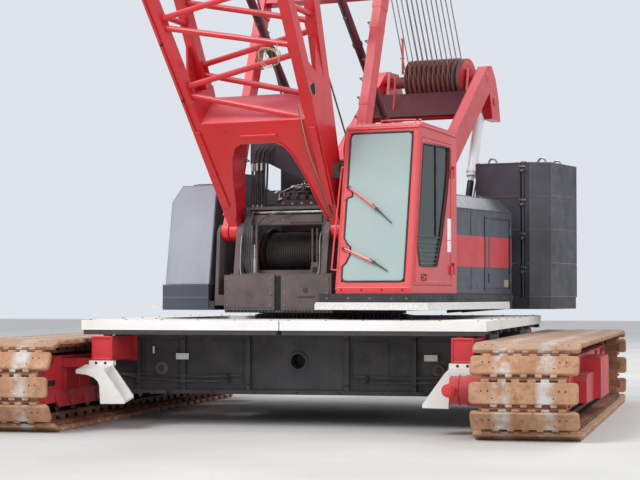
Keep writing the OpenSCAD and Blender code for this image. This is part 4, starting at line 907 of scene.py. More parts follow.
def wound(name, body, y, z, r, w, rope, layers=1, flange=0.30, holes=10):
    """Rope laid round a drum, its flange holes and hub bolts."""
    # rope on the drums takes the darkened greasy rope colour, partly painted shade
    p = Piece(name, body, [M["greasy"], M["oily"], M["hole"], M["zinc"]], UP)
    pitch = rope * 2.12
    for lay in range(layers):
        n = int((w - 2 * rope) / pitch)
        rr = r + rope * (1 + 1.72 * lay)
        pts = []
        for i in range(n * 20 + 1):
            a = 2 * math.pi * i / 20
            x = -w / 2 + rope * (1 + (lay % 2)) + pitch * i / 20
            if x > w / 2 - rope:
                break
            pts.append((x, y + rr * math.sin(a), z + rr * math.cos(a)))
        p.tube(pts, rope, 0, 6)
    for s in (-1, 1):
        x = s * (w / 2 + 0.030)
        p.lathe([(flange - 0.03, 0), (flange + 0.0, 0), (flange + 0.0, 0.010), (flange - 0.03, 0.010)], (x - s * 0.002, y, z), (s, 0, 0), 1, 40)
        # flange holes as near-black discs, painted shade, with bolts between them
        for k in range(holes):
            a = 2 * math.pi * k / holes
            p.cyl((x - s * 0.002, y + r * 0.72 * math.sin(a), z + r * 0.72 * math.cos(a)), (x + s * 0.003, y + r * 0.72 * math.sin(a), z + r * 0.72 * math.cos(a)), r * 0.13, 2, 14)
            a += math.pi / holes
            p.bolt((x, y + 0.105 * math.sin(a), z + 0.105 * math.cos(a)), (s, 0, 0), 0.008, 0.010, 3)
    return p.done()


wound("front_drum_rope", "front_drum", -0.86, 2.18, 0.27, 0.86, 0.0125, 1, 0.340, 12)
wound("rear_drum_rope", "rear_drum", 1.50, 2.33, 0.20, 0.70, 0.0125, 2, 0.300)
wound("luffing_drum_rope", "luffing_drum", 2.56, 2.32, 0.20, 0.76, 0.011, 2, 0.290)

# drum bearings and gearboxes on the bed
p = Piece("drum_bearings", "upperworks", [M["brown"], M["zinc"], M["dark"], M["hose"]], UP)
for y, z, half in ((1.50, 2.33, 0.35), (2.56, 2.32, 0.38)):
    for s in (-1, 1):
        x0 = s * (half + 0.075)
        x1 = s * (half + 0.145)
        zb = 1.895 if y < 1.65 else 1.995
        p.prism([(y - 0.20, zb), (y + 0.20, zb), (y + 0.11, z + 0.04), (y + 0.06, z + 0.11), (y - 0.06, z + 0.11), (y - 0.11, z + 0.04)], "yz", x0, x1, 0, c=0.005)
        p.cyl((x1, y, z), (x1 + s * 0.05, y, z), 0.085, 2, 20, c=0.006)
        for k in range(6):
            a = 2 * math.pi * k / 6
            p.bolt((x1 + s * 0.0, y + 0.100 * math.sin(a), z + 0.100 * math.cos(a) - 0.02), (s, 0, 0), 0.008, 0.009, 1)
for s in (-1, 1):
    # gearboxes of the front drum, between its flanges and the frame
    p.cyl((s * 0.497, -0.86, 2.18), (s * 0.519, -0.86, 2.18), 0.13, 2, 24)
p.done()

# ---------------------------------------------------------------- engine
p = Piece("engine_trim", "upperworks", [M["dark"], M["brown"], M["zinc"], M["hose"], M["steel"], M["hole"]], UP)
for s in (-1, 1):
    for k in range(6):
        y = 0.06 + k * 0.18
        p.box((s * 0.481, y, 2.02), (s * 0.500, y + 0.13, 2.70), 0, 0.006)
        for j in range(7):
            z = 2.08 + j * 0.085
            p.box((s * 0.499, y + 0.015, z), (s * 0.510, y + 0.115, z + 0.016), 5, 0.002)
    p.box((s * 0.34, -0.055, 2.861), (s * 0.42, 1.06, 2.90), 1, 0.006)
for k in range(6):
    y = 0.06 + k * 0.165
    p.box((-0.30, y, 2.861), (0.30, y + 0.12, 2.93), 1, 0.012)
    p.bolt((0, y + 0.06, 2.93), (0, 0, 1), 0.016, 0.014, 2)
    p.curve([(0.28, y + 0.06, 2.90), (0.36, y + 0.06, 3.0), (0.44, y + 0.06, 2.94), (0.47, y + 0.06, 2.80)], 0.022, 4, 8, 5)
p.cyl((-0.33, -0.02, 3.00), (-0.33, 0.80, 3.00), 0.10, 0, 24, c=0.02)
p.cyl((-0.33, 0.60, 3.05), (-0.33, 0.60, 3.52), 0.055, 4, 20)
p.cyl((-0.33, 0.60, 3.50), (-0.33, 0.56, 3.62), 0.055, 4, 20)
p.lathe([(0.060, 0), (0.080, 0), (0.080, 0.28), (0.060, 0.28)], (-0.33, 0.60, 3.14), (0, 0, 1), 0, 24)
p.done()

# ---------------------------------------------------------------- cab
RAKE = 0.1501


def fy(z, off=0.0):
    """Y of the raked front plane at height z, off in front of it."""
    return -1.930 + RAKE * (z - 1.66) - off


p = Piece("cab_front_trim", "upperworks", [M["rubber"], M["cab"], M["oily"], M["plastic"], M["pale"], M["lamp"]], UP)
gaps = [(3.02, 2.93, 2.85, 0.075), (2.35, 2.25, 2.00, 0.095)]
outline = []
r = 0.06
X0, X1, Z0, Z1 = 1.090, 1.950, 1.808, 3.682
for cx, cz, a0 in ((X1 - r, Z1 - r, 0), (X0 + r, Z1 - r, 90)):
    for k in range(6):
        a = math.radians(a0 + 18 * k)
        outline.append((cx + r * math.cos(a), cz + r * math.sin(a)))
for zt, zm, zb, w in gaps:
    outline += [(X0, zt), (X0 + w * 0.55, zt - (zt - zb) * 0.22), (X0 + w, zm - (zt - zb) * 0.02), (X0 + w, zm - (zt - zb) * 0.30), (X0 + w * 0.5, zb + (zt - zb) * 0.12), (X0, zb)]
for cx, cz, a0 in ((X0 + r, Z0 + r, 180), (X1 - r, Z0 + r, 270)):
    for k in range(6):
        a = math.radians(a0 + 18 * k)
        outline.append((cx + r * math.cos(a), cz + r * math.sin(a)))
p.tube([(x, fy(z, 0.004), z) for x, z in outline], 0.012, 0, 8, closed=True)
# brackets of the two wipers, let into the left edge of the pane
for zt, zm, zb, w in gaps:
    pts = [(X0 - 0.035, zt + 0.02), (X0, zt), (X0 + w * 0.55, zt - (zt - zb) * 0.22), (X0 + w, zm - (zt - zb) * 0.02), (X0 + w, zm - (zt - zb) * 0.30), (X0 + w * 0.5, zb + (zt - zb) * 0.12), (X0, zb), (X0 - 0.035, zb - 0.02)]
    n = len(pts)
    vs = [(x, fy(z, 0.010), z) for x, z in pts] + [(x, fy(z, -0.040), z) for x, z in pts]
    fs = [[i, (i + 1) % n, n + (i + 1) % n, n + i] for i in range(n)] + [list(range(n))[::-1], [n + i for i in range(n)]]
    p.add(vs, fs, 1)
for a, b, c in (((1.122, 3.003), (1.533, 2.713), (1.738, 2.533)), ((1.107, 2.230), (1.537, 2.049), (1.723, 1.936))):
    A, B, C = [(x, fy(z, 0.045), z) for x, z in (a, b, c)]
    p.tube([A, B], 0.009, 1, 8)
    A2 = (A[0] + 0.012, A[1], A[2] - 0.028)
    B2 = (B[0] - 0.010, B[1], B[2] - 0.010)
    p.tube([A2, B2], 0.005, 1, 6)
    p.cyl((A[0] - 0.005, A[1] + 0.045, A[2] - 0.010), (A[0] - 0.005, A[1] - 0.012, A[2] - 0.010), 0.022, 3, 16, c=0.003)
    p.box((B[0] - 0.020, B[1] - 0.010, B[2] - 0.018), (B[0] + 0.020, B[1] + 0.012, B[2] + 0.018), 3, 0.004)
    D = (2 * C[0] - B[0], fy(2 * C[1 + 1] - B[2], 0.018), 2 * C[2] - B[2])
    E = (B[0] - (C[0] - B[0]) * 0.35, fy(B[2] - (C[2] - B[2]) * 0.35, 0.018), B[2] - (C[2] - B[2]) * 0.35)
    F = (C[0], fy(C[2], 0.018), C[2])
    p.tube([E, F], 0.008, 0, 6)
    p.tube([B, F], 0.006, 3, 6)
# drip rail over the pane and a folded lower edge
p.tube([(1.03, fy(3.738, 0.010), 3.738), (2.03, fy(3.738, 0.010), 3.738)], 0.012, 1, 8)
p.box((1.028, fy(1.70, 0.012), 1.672), (2.032, fy(1.70, -0.02), 1.735), 1, 0.006)
for x in (1.10, 1.38, 1.66, 1.94):
    p.bolt((x, fy(1.70, 0.012), 1.703), (0, -1, 0), 0.008, 0.007, 2)
# long straight grab rail beside the left front corner
p.curve([(1.028, fy(3.22, -0.02), 3.24), (1.008, fy(3.24, 0.02), 3.25), (0.998, fy(3.20, 0.028), 3.20), (0.975, fy(2.6, 0.028), 2.60), (0.955, fy(2.02, 0.028), 2.02), (0.958, fy(1.96, 0.02), 1.96), (1.028, fy(1.95, -0.02), 1.95)], 0.011, 1, 8, 8)
p.done()

p = Piece("cab_side_trim", "upperworks", [M["rubber"], M["cab"], M["oily"], M["plastic"], M["chrome"]], UP)
# corner mouldings and rain gutter
p.tube([(2.036, fy(1.70, -0.004), 1.70), (2.036, fy(3.75, -0.004), 3.75)], 0.016, 1, 8)
p.tube([(1.024, fy(1.70, -0.004), 1.70), (1.024, fy(3.75, -0.004), 3.75)], 0.016, 1, 8)
p.curve([(2.046, -1.60, 3.752), (2.048, -1.30, 3.742), (2.048, -0.90, 3.718), (2.046, -0.50, 3.690)], 0.012, 1, 6, 4)
# frame of the roof window, low rail over the front edge and its end knob
roof = MT(0, -1.05, 3.7775) @ MR(-3.087, "X")
for a, b in (((1.165, -0.235, -0.004), (1.198, 0.235, 0.014)), ((1.862, -0.235, -0.004), (1.895, 0.235, 0.014)),
             ((1.198, -0.235, -0.004), (1.862, -0.203, 0.014)), ((1.198, 0.201, -0.004), (1.862, 0.235, 0.014))):
    p.box(a, b, 1, 0.003, roof)
p.curve([(1.46, -1.52, 3.795), (1.465, -1.52, 3.836), (1.50, -1.52, 3.842), (1.72, -1.52, 3.842), (1.91, -1.52, 3.838), (1.935, -1.52, 3.830), (1.94, -1.52, 3.795)], 0.010, 1, 8, 6)
p.cyl((1.985, -1.50, 3.79), (1.985, -1.50, 3.825), 0.014, 1, 12)
p.cyl((1.985, -1.50, 3.822), (1.985, -1.50, 3.845), 0.022, 1, 14, c=0.007)
for x in (1.10, 1.95):
    for y in (-1.45, -1.1, -0.7):
        p.bolt((x, y, 3.805 - (y + 1.56) * 0.0539), (0, 0, 1), 0.010, 0.009, 2)
for x in (1.13, 1.20):
    p.box((x - 0.018, -1.53, 3.795), (x + 0.018, -1.49, 3.822), 1, 0.004)
# inner side window gasket, rear window gasket
p.tube([(1.018, y, z) for y, z in ((-1.56, 2.45), (-1.44, 3.48), (-0.68, 3.42), (-0.68, 2.45))], 0.012, 0, 8, closed=True)
p.tube([(1.17, -0.458, 2.50), (1.17, -0.458, 3.40), (1.89, -0.458, 3.40), (1.89, -0.458, 2.50)], 0.012, 0, 8, closed=True)
# bent plate beside the cab's left edge that carries the mirror
bracket = [(1.018, 3.80), (0.975, 3.71), (0.938, 3.50), (0.955, 3.265), (1.018, 3.262), (1.018, 3.335), (0.978, 3.340), (0.962, 3.49), (0.988, 3.62), (1.018, 3.70)]
p.prism(bracket, "xz", -1.560, -1.535, 1, c=0.004)
p.tube([(0.966, -1.556, 3.33), (0.956, -1.628, 3.33), (0.905, -1.668, 3.30)], 0.009, 3, 8)
mirror = MT(0.892, -1.670, 3.215) @ MR(-14, "Y") @ MR(16, "Z")
p.box((-0.052, -0.018, -0.095), (0.052, 0.012, 0.095), 3, 0.014, mirror)
p.box((-0.044, 0.010, -0.085), (0.044, 0.015, 0.085), 4, 0.003, mirror)
p.done()

p = Piece("cab_door_trim", "cab_door", [M["rubber"], M["cab"], M["oily"], M["plastic"], M["teal"], M["white"]], UP)
win = [(-1.640, 2.000), (-1.110, 2.000), (-0.960, 2.350), (-0.790, 2.900), (-0.715, 3.250), (-0.700, 3.535), (-1.525, 3.535), (-1.716, 2.280)]


def eased(pts, r, k=4):
    out = []
    n = len(pts)
    for i in range(n):
        p0, p1, p2 = Vector(pts[i - 1]), Vector(pts[i]), Vector(pts[(i + 1) % n])
        a = p1 + (p0 - p1).normalized() * r
        b = p1 + (p2 - p1).normalized() * r
        for j in range(k + 1):
            t = j / k
            out.append(tuple(a * (1 - t) ** 2 + p1 * 2 * t * (1 - t) + b * t * t))
    return out


p.tube([(2.044, y, z) for y, z in eased(win, 0.04)], 0.011, 0, 8, closed=True)
p.tube([(1.996, y, z) for y, z in eased(win, 0.04)], 0.009, 0, 6, closed=True)
# louvres across the foot of the window
for k in range(6):
    z = 2.030 + k * 0.054
    y0 = -1.640 - (z - 2.0) * 0.2714 + 0.016
    y1 = -1.110 + (z - 2.0) * 0.4286 - 0.018
    vs = [(2.036, y0, z), (2.036, y1, z), (2.006, y1, z + 0.044), (2.006, y0, z + 0.044),
          (2.032, y0, z), (2.032, y1, z), (2.002, y1, z + 0.044), (2.002, y0, z + 0.044)]
    p.add(vs, [[0, 1, 2, 3], [7, 6, 5, 4], [0, 4, 5, 1], [1, 5, 6, 2], [2, 6, 7, 3], [3, 7, 4, 0]], 4)
# sliding pane's frame
p.box((2.024, -1.115, 2.38), (2.038, -1.085, 3.515), 3, 0.003)
p.box((2.024, -1.690, 2.360), (2.038, -0.968, 2.380), 3, 0.003)
# pressed edge of the door
p.tube([(2.043, y, z) for y, z in eased([(-1.790, 1.800), (-1.548, 3.572), (-0.655, 3.545), (-0.655, 1.800)], 0.04)], 0.006, 1, 6, closed=True)
# plain white strip in two lengths on the rear edge
for z0, z1 in ((2.345, 2.620), (2.190, 2.335)):
    p.box((2.0415, -0.772, z0), (2.0450, -0.640, z1), 5, 0.0012)
# rim of the handle's recess
for a, b in (((-1.590, 1.815), (-1.572, 1.905)), ((-1.448, 1.815), (-1.430, 1.905)), ((-1.572, 1.815), (-1.448, 1.829)), ((-1.572, 1.891), (-1.448, 1.905))):
    p.box((2.041, a[0], a[1]), (2.047, b[0], b[1]), 3, 0.002)
p.done()

# windscreen: one laminated pane with eased corners, let in behind the gasket; its pale, nearly opaque colour is a
# painted sky reflection
scr = []
for x, z in outline:
    scr.append((x, z))
p = Piece("windscreen", "upperworks", [M["screen"]], UP)
n = len(scr)
vs = [(x, fy(z, 0.001), z) for x, z in scr] + [(x, fy(z, -0.007), z) for x, z in scr]
fs = [[i, (i + 1) % n, n + (i + 1) % n, n + i] for i in range(n)] + [list(range(n))[::-1], [n + i for i in range(n)]]
p.add(vs, fs, 0)
p.done()

# seat: crowned cushions on a sprung base
def cushion(name, size, at, seams, body="upperworks", crown=0.028):
    me = bpy.data.meshes.new(name)
    bm = bmesh.new()
    nx, ny = 22, 22
    sx, sy, sz = size
    grid = {}
    for side in (1, -1):
        for i in range(nx + 1):
            for j in range(ny + 1):
                u, v = 2 * i / nx - 1, 2 * j / ny - 1
                edge = (1 - abs(u) ** 5) * (1 - abs(v) ** 5)
                rim = max(abs(u), abs(v)) >= 1
                if side < 0 and rim:
                    grid[(side, i, j)] = grid[(1, i, j)]
                    continue
                pinch = 1 - 0.045 * (1 - abs(u)) * (abs(v) ** 6) - 0.045 * (1 - abs(v)) * (abs(u) ** 6)
                # round the plan corners
                k = max(0.0, abs(u) + abs(v) - 1.62)
                x, y = u * sx / 2 * (1 - 0.32 * k) * pinch, v * sy / 2 * (1 - 0.32 * k) * pinch
                h = edge ** 0.30 * sz / 2
                h += crown * (1 - u * u) * (1 - v * v) * (1 if side > 0 else 0.2)
                for s in seams:
                    h -= 0.010 * math.exp(-((u - s) / 0.035) ** 2) if side > 0 else 0
                h -= 0.007 * math.exp(-((abs(v) - 0.72) / 0.035) ** 2) if side > 0 else 0
                grid[(side, i, j)] = bm.verts.new((x, y, side * max(h, 0.0)))
    for side in (1, -1):
        for i in range(nx):
            for j in range(ny):
                q = [grid[(side, i, j)], grid[(side, i + 1, j)], grid[(side, i + 1, j + 1)], grid[(side, i, j + 1)]]
                bm.faces.new(q if side > 0 else q[::-1])
    bmesh.ops.recalc_face_normals(bm, faces=bm.faces)
    bm.transform(UP @ at)
    bm.to_mesh(me)
    bm.free()
    me.polygons.foreach_set("use_smooth", [True] * len(me.polygons))
    me.materials.append(M["fabric"])
    o = bpy.data.objects.new(name, me)
    bpy.context.scene.collection.objects.link(o)
    sub = o.modifiers.new("sub", "SUBSURF")
    sub.levels = sub.render_levels = 1
    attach(o, body)
    return o


SEAT = MT(1.5, -1.01, 0)
seat_pad = cushion("seat_cushion", (0.49, 0.49, 0.115), SEAT @ MT(0, -0.03, 2.140), (-0.55, 0.55))
seat_back = cushion("seat_back", (0.46, 0.70, 0.10), SEAT @ MT(0, 0.245, 2.575) @ MR(82, "X") @ MR(180, "Z"), (-0.5, 0.5), crown=0.02)
p = Piece("seat_frame", "upperworks", [M["plastic"], M["fabric"], M["steel"]], UP @ SEAT)
p.box((-0.20, -0.22, 1.722), (0.20, 0.20, 1.760), 0, 0.010)
p.cyl((0, 0, 1.755), (0, 0, 2.03), 0.085, 2, 24)
for k in range(5):
    p.lathe([(0.085, 0), (0.118, 0.020), (0.085, 0.040)], (0, 0, 1.78 + k * 0.045), (0, 0, 1), 0, 24)
p.box((-0.22, -0.24, 2.030), (0.22, 0.19, 2.082), 0, 0.012)
p.prism([(-0.17, 0.0), (0.17, 0.0), (0.15, 0.66), (-0.15, 0.66)], "xz", 0.0, 0.018, 0, MT(0, 0.262, 2.24) @ MR(-8, "X"), c=0.006)
for s in (-1, 1):
    p.curve([(s * 0.245, 0.10, 2.10), (s * 0.285, 0.11, 2.20), (s * 0.292, 0.08, 2.325)], 0.016, 0, 8, 6)
    p.box((s * 0.262, -0.215, 2.335), (s * 0.335, 0.155, 2.385), 1, 0.020)
p.done(("seat",))
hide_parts("seat")

p = Piece("cab_controls", "upperworks", [M["plastic"], M["rubber"], M["steel"], M["dark"]], UP)
for k, x in enumerate((1.11, 1.145)):
    y = -1.25 + k * 0.20
    p.cyl((x, y, 2.33), (x + 0.01, y - 0.02, 2.50), 0.008, 2, 10)
    p.lathe([(0.001, 0), (0.020, 0.006), (0.024, 0.030), (0.018, 0.052), (0.001, 0.060)], (x + 0.01, y - 0.02, 2.49), (0, 0, 1), 1, 16)
    p.lathe([(0.010, 0), (0.040, 0), (0.030, 0.020), (0.012, 0.045)], (x, y, 2.330), (0, 0, 1), 1, 16)
for k in range(4):
    p.cyl((1.105 + 0.016 * k, -0.98 + 0.06 * k, 2.330), (1.105 + 0.016 * k, -0.98 + 0.06 * k, 2.345), 0.011, 1, 12)
for x in (1.36, 1.62):
    p.box((x - 0.05, -1.46, 1.735), (x + 0.05, -1.30, 1.755), 1, 0.006, MT(0, 0, 0))
    p.cyl((x, -1.44, 1.75), (x, -1.50, 1.90), 0.010, 2, 10)
for k in range(3):
    p.lathe([(0.001, 0), (0.034, 0), (0.034, 0.008), (0.028, 0.010), (0.001, 0.010)], (1.36 + k * 0.14, -1.532 + 0.004, 2.20), (0, 1, 0.14), 3, 24)
p.done()

# ---------------------------------------------------------------- houses
p = Piece("right_house_trim", "upperworks", [M["stripe"], M["slate"], M["tan"], M["zinc"], M["hole"], M["dark"], M["rubber"]], UP)
HX = 1.750
for y0, y1 in ((-0.352, 1.205), (2.196, 2.236)):
    p.box((HX - 0.001, y0, 2.020), (HX + 0.003, y1, 2.445), 0, 0.001)
p.box((HX - 0.001, -0.356, 1.660), (HX + 0.010, 1.215, 1.695), 1, 0.003)
# panel joints, rain edge and fixings
for y in (0.20, 0.72):
    p.box((HX - 0.001, y - 0.004, 1.70), (HX + 0.0035, y + 0.004, 2.018), 4, 0.0005)
    p.box((HX - 0.001, y - 0.004, 2.447), (HX + 0.0035, y + 0.004, 2.80), 4, 0.0005)
for k in range(9):
    y = -0.30 + k * 0.18
    p.bolt((HX + 0.001, y, 1.74), (1, 0, 0), 0.007, 0.006, 3)
    p.bolt((HX + 0.001, y, 2.775), (1, 0, 0), 0.007, 0.006, 3)
p.tube([(HX + 0.004, -0.35, 2.812), (HX + 0.004, 2.235, 2.812)], 0.008, 1, 8)
# frame round the service door
for y0, y1, z0, z1 in ((1.205, 1.230, 1.69, 2.73), (2.170, 2.195, 1.69, 2.73), (1.205, 2.195, 2.715, 2.735), (1.205, 2.195, 1.685, 1.705)):
    p.box((HX - 0.001, y0, z0), (HX + 0.012, y1, z1), 1, 0.003)
# roof: hatches, vents and lifting eyes
for y in (0.05, 0.85, 1.65):
    p.box((1.10, y, 2.998), (1.50, y + 0.55, 3.022), 1, 0.006)
    for k in range(9):
        p.box((1.14, y + 0.06 + k * 0.05, 3.020), (1.46, y + 0.078 + k * 0.05, 3.030), 4, 0.002)
for y in (-0.20, 2.10):
    p.tube([(1.30 + 0.05 * math.cos(a / 8 * math.pi), y, 3.00 + 0.06 * math.sin(a / 8 * math.pi)) for a in range(9)], 0.010, 3, 8)
# rear grille
for k in range(17):
    z = 1.83 + k * 0.045
    vs = [(1.155, 2.238, z), (1.595, 2.238, z), (1.595, 2.206, z + 0.028), (1.155, 2.206, z + 0.028),
          (1.155, 2.234, z - 0.004), (1.595, 2.234, z - 0.004), (1.595, 2.202, z + 0.024), (1.155, 2.202, z + 0.024)]
    p.add(vs, [[0, 1, 2, 3], [7, 6, 5, 4], [0, 4, 5, 1], [1, 5, 6, 2], [2, 6, 7, 3], [3, 7, 4, 0]], 5)
# grab rail at the side
p.curve([(HX, -0.30, 2.70), (HX + 0.06, -0.30, 2.69), (HX + 0.065, -0.30, 2.30), (HX + 0.06, -0.30, 1.91), (HX, -0.30, 1.90)], 0.011, 3, 8, 6)
p.done()

p = Piece("right_door_trim", "house_door_right", [M["stripe"], M["slate"], M["tan"], M["zinc"], M["hole"], M["rubber"]], UP)
p.box((HX + 0.003, 1.250, 2.020), (HX + 0.0065, 1.325, 2.445), 0, 0.001)
p.box((HX + 0.003, 1.395, 2.020), (HX + 0.0065, 2.112, 2.445), 0, 0.001)
p.box((HX + 0.003, 1.93, 1.750), (HX + 0.0070, 2.105, 1.850), 2, 0.001)
for y, z in ((1.945, 1.765), (2.09, 1.765), (1.945, 1.835), (2.09, 1.835)):
    p.cyl((HX + 0.006, y, z), (HX + 0.009, y, z), 0.005, 3, 8)
p.tube([(HX + 0.004, y, z) for y, z in eased([(1.262, 1.745), (1.262, 2.675), (2.100, 2.675), (2.100, 1.745)], 0.02)], 0.005, 1, 6, closed=True)
p.done()

p = Piece("left_house_trim", "upperworks", [M["grey"], M["slate"], M["zinc"], M["hole"], M["stripe"], M["dark"], M["lightgrey"]], UP @ FLIP)
def hy(z, off=0.0):
    return -1.5 + 0.15 * (z - 1.779) - off
# one pale front sheet on the wall that leans back, with its folded edges
sheet = [(1.084, 1.786), (1.746, 1.786), (1.746, 2.888), (1.598, 3.104), (1.084, 3.104)]
vs = [(x, hy(z, 0.006), z) for x, z in sheet] + [(x, hy(z, -0.004), z) for x, z in sheet]
p.add(vs, [[0, 1, 2, 3, 4], [9, 8, 7, 6, 5]] + [[i, i + 5, (i + 1) % 5 + 5, (i + 1) % 5] for i in range(5)], 6)
p.tube([(x, hy(z, 0.004), z) for x, z in sheet], 0.007, 6, 6, closed=True)
# inner upstand behind the boom's leg, with its own rake
up = [(hy(1.80), 1.80), (-0.05, 1.80), (-0.05, 3.30), (hy(3.30), 3.30)]
vs = [(x, y, z) for x in (1.066, 1.0835) for y, z in up]
p.add(vs, [[0, 1, 2, 3], [7, 6, 5, 4]] + [[i, i + 4, (i + 1) % 4 + 4, (i + 1) % 4] for i in range(4)], 1)
for y in (-0.90, 0.40, 1.30):
    p.box((HX - 0.001, y - 0.004, 1.80), (HX + 0.0035, y + 0.004, 2.40), 3, 0.0005) if not (-0.1 < y < 1.02) else None
p.box((HX - 0.001, -1.405, 2.020), (HX + 0.003, -0.10, 2.330), 4, 0.001)
p.box((HX - 0.001, 1.040, 2.020), (HX + 0.003, 2.236, 2.330), 4, 0.001)
for y0, y1, z0, z1 in ((-0.095, -0.068, 1.81, 2.43), (1.010, 1.035, 1.81, 2.43), (-0.095, 1.035, 2.408, 2.428), (-0.095, 1.035, 1.805, 1.826)):
    p.box((HX - 0.001, y0, z0), (HX + 0.012, y1, z1), 0, 0.003)
for y in (-1.20, -0.35, 0.60, 1.55):
    p.box((1.12, y, 3.108), (1.50, y + 0.60, 3.130), 0, 0.006)
    for k in range(10):
        p.box((1.15, y + 0.06 + k * 0.05, 3.128), (1.47, y + 0.078 + k * 0.05, 3.138), 3, 0.002)
for k in range(15):
    z = 1.93 + k * 0.05
    vs = [(1.155, 2.238, z), (1.515, 2.238, z), (1.515, 2.206, z + 0.028), (1.155, 2.206, z + 0.028),
          (1.155, 2.234, z - 0.004), (1.515, 2.234, z - 0.004), (1.515, 2.202, z + 0.024), (1.155, 2.202, z + 0.024)]
    p.add(vs, [[0, 1, 2, 3], [7, 6, 5, 4], [0, 4, 5, 1], [1, 5, 6, 2], [2, 6, 7, 3], [3, 7, 4, 0]], 5)
p.box((1.086, -1.5095, 1.446), (1.797, -1.5035, 1.770), 1, 0.002)
p.box((1.084, -1.514, 1.600), (1.798, -1.502, 1.612), 0, 0.003)
p.box((1.084, -1.514, 1.764), (1.798, -1.500, 1.777), 0, 0.003)
p.done()

p = Piece("left_door_trim", "house_door_left", [M["stripe"], M["grey"], M["zinc"], M["hole"]], UP @ FLIP)
p.box((HX + 0.003, -0.045, 2.025), (HX + 0.0065, 0.022, 2.325), 0, 0.001)
p.box((HX + 0.003, 0.096, 2.025), (HX + 0.0065, 0.948, 2.325), 0, 0.001)
p.tube([(HX + 0.004, y, z) for y, z in eased([(-0.040, 1.860), (-0.040, 2.380), (0.942, 2.380), (0.942, 1.860)], 0.02)], 0.005, 1, 6, closed=True)
p.done()

p = Piece("deck_trim", "upperworks", [M["dark"], M["zinc"], M["bed"], M["pale"], M["lens_amber"]], UP)
for k in range(14):
    y = -1.80 + k * 0.15
    if y < -0.3:
        p.bolt((2.061, y, 1.60), (1, 0, 0), 0.008, 0.007, 1)
p.box((0.80, -1.946, 1.545), (2.05, -1.938, 1.645), 0, 0.003)
for x in (0.9, 1.2, 1.5, 1.8, 2.0):
    p.bolt((x, -1.946, 1.595), (0, -1, 0), 0.010, 0.009, 1)
for y in (-0.1, 0.4, 0.9, 1.4, 1.9):
    p.prism([(1.752, 1.458), (1.752, 1.40), (2.36, 1.446), (2.36, 1.458)], "xz", y - 0.02, y + 0.02, 0) if y < 0.5 else None
    p.box((1.751, y - 0.02, 1.445), (1.766, y + 0.02, 1.535), 0, 0.002)
p.box((1.752, -0.34, 1.555), (1.765, 2.25, 1.640), 0, 0.003)
for y in (-0.2, 0.5, 1.2, 1.9):
    p.bolt((1.765, y, 1.60), (1, 0, 0), 0.009, 0.008, 1)
p.done()

p = Piece("catwalk_trim", "upperworks", [M["pale"], M["zinc"], M["dark"]], UP)
p.box((2.388, -2.19, 1.530), (2.398, 0.495, 1.548), 0, 0.002)
p.box((0.87, -2.198, 1.530), (2.398, -2.188, 1.548), 0, 0.002)
for k in range(12):
    p.bolt((0.95 + k * 0.125, -2.06, 1.530), (0, 0, 1), 0.008, 0.006, 1)
for k in range(8):
    p.box((1.78 + 0.075 * k, -1.90, 1.529), (1.786 + 0.075 * k, 0.47, 1.533), 2, 0.0005)
p.done()

# ---------------------------------------------------------------- counterweight
for s, body, label in ((1, "upperworks", "right"), (-1, "upperworks", "left")):
    p = Piece("counterweight_trim_" + label, body, [M["weight"], M["zinc"], M["hole"], M["steel"], M["lip"]], UP if s > 0 else UP @ FLIP)
    for k in range(1, 5):
        zt = 1.598 + k * 0.493
        # lifting pockets, clamp plates and nuts of the tie rods
        p.box((1.705, 2.622, zt - 0.135), (1.825, 2.652, zt - 0.100), 0, 0.004)
        p.cyl((1.765, 2.612, zt - 0.118), (1.765, 2.624, zt - 0.118), 0.026, 1, 6, c=0.003)
        p.box((1.715, 2.626, zt - 0.07), (1.815, 2.650, zt - 0.045), 3, 0.003)
        for x0, z0, m in ((0.0, zt - 0.484, 4), (0.0, zt - 0.004, 4)):
            p.tube([(1.035, 2.640, z0), (1.70, 2.640, z0)], 0.0055, m, 6)
            p.tube([(1.83, 2.640, z0), (1.88, 2.640, z0), (2.150, 2.800, z0), (2.150, 3.900, z0), (1.900, 4.130, z0), (1.035, 4.170, z0)], 0.0055, m, 6)
        # weld seams up the corners
        for x, y in ((1.88, 2.640), (2.150, 2.800), (2.150, 3.900), (1.900, 4.130)):
            p.tube([(x, y, zt - 0.478), (x, y, zt - 0.012)], 0.0045, 4, 6)
        # seam beads and cast corner marks
        p.box((1.06, 2.634, zt - 0.020), (1.70, 2.641, zt - 0.010), 0, 0.001)
        p.box((1.06, 2.634, zt - 0.480), (1.70, 2.641, zt - 0.470), 0, 0.001)
        p.prism([(1.50, 4.148), (1.12, 4.166), (1.12, 4.172), (1.50, 4.154)], "xy", zt - 0.38, zt - 0.12, 2)
    for x, y in ((1.20, 2.90), (1.20, 3.90), (1.90, 3.10), (1.90, 3.75)):
        z = 1.598 + 4 * 0.493
        p.tube([(x + 0.07 * math.cos(a / 8 * math.pi), y, z - 0.01 + 0.10 * math.sin(a / 8 * math.pi)) for a in range(9)], 0.016, 3, 8)
        p.box((x - 0.11, y - 0.05, z - 0.002), (x + 0.11, y + 0.05, z + 0.012), 0, 0.003)
    p.cyl((1.50, 3.40, 3.60), (1.50, 3.40, 3.640), 0.052, 1, 6, c=0.006)
    p.done()

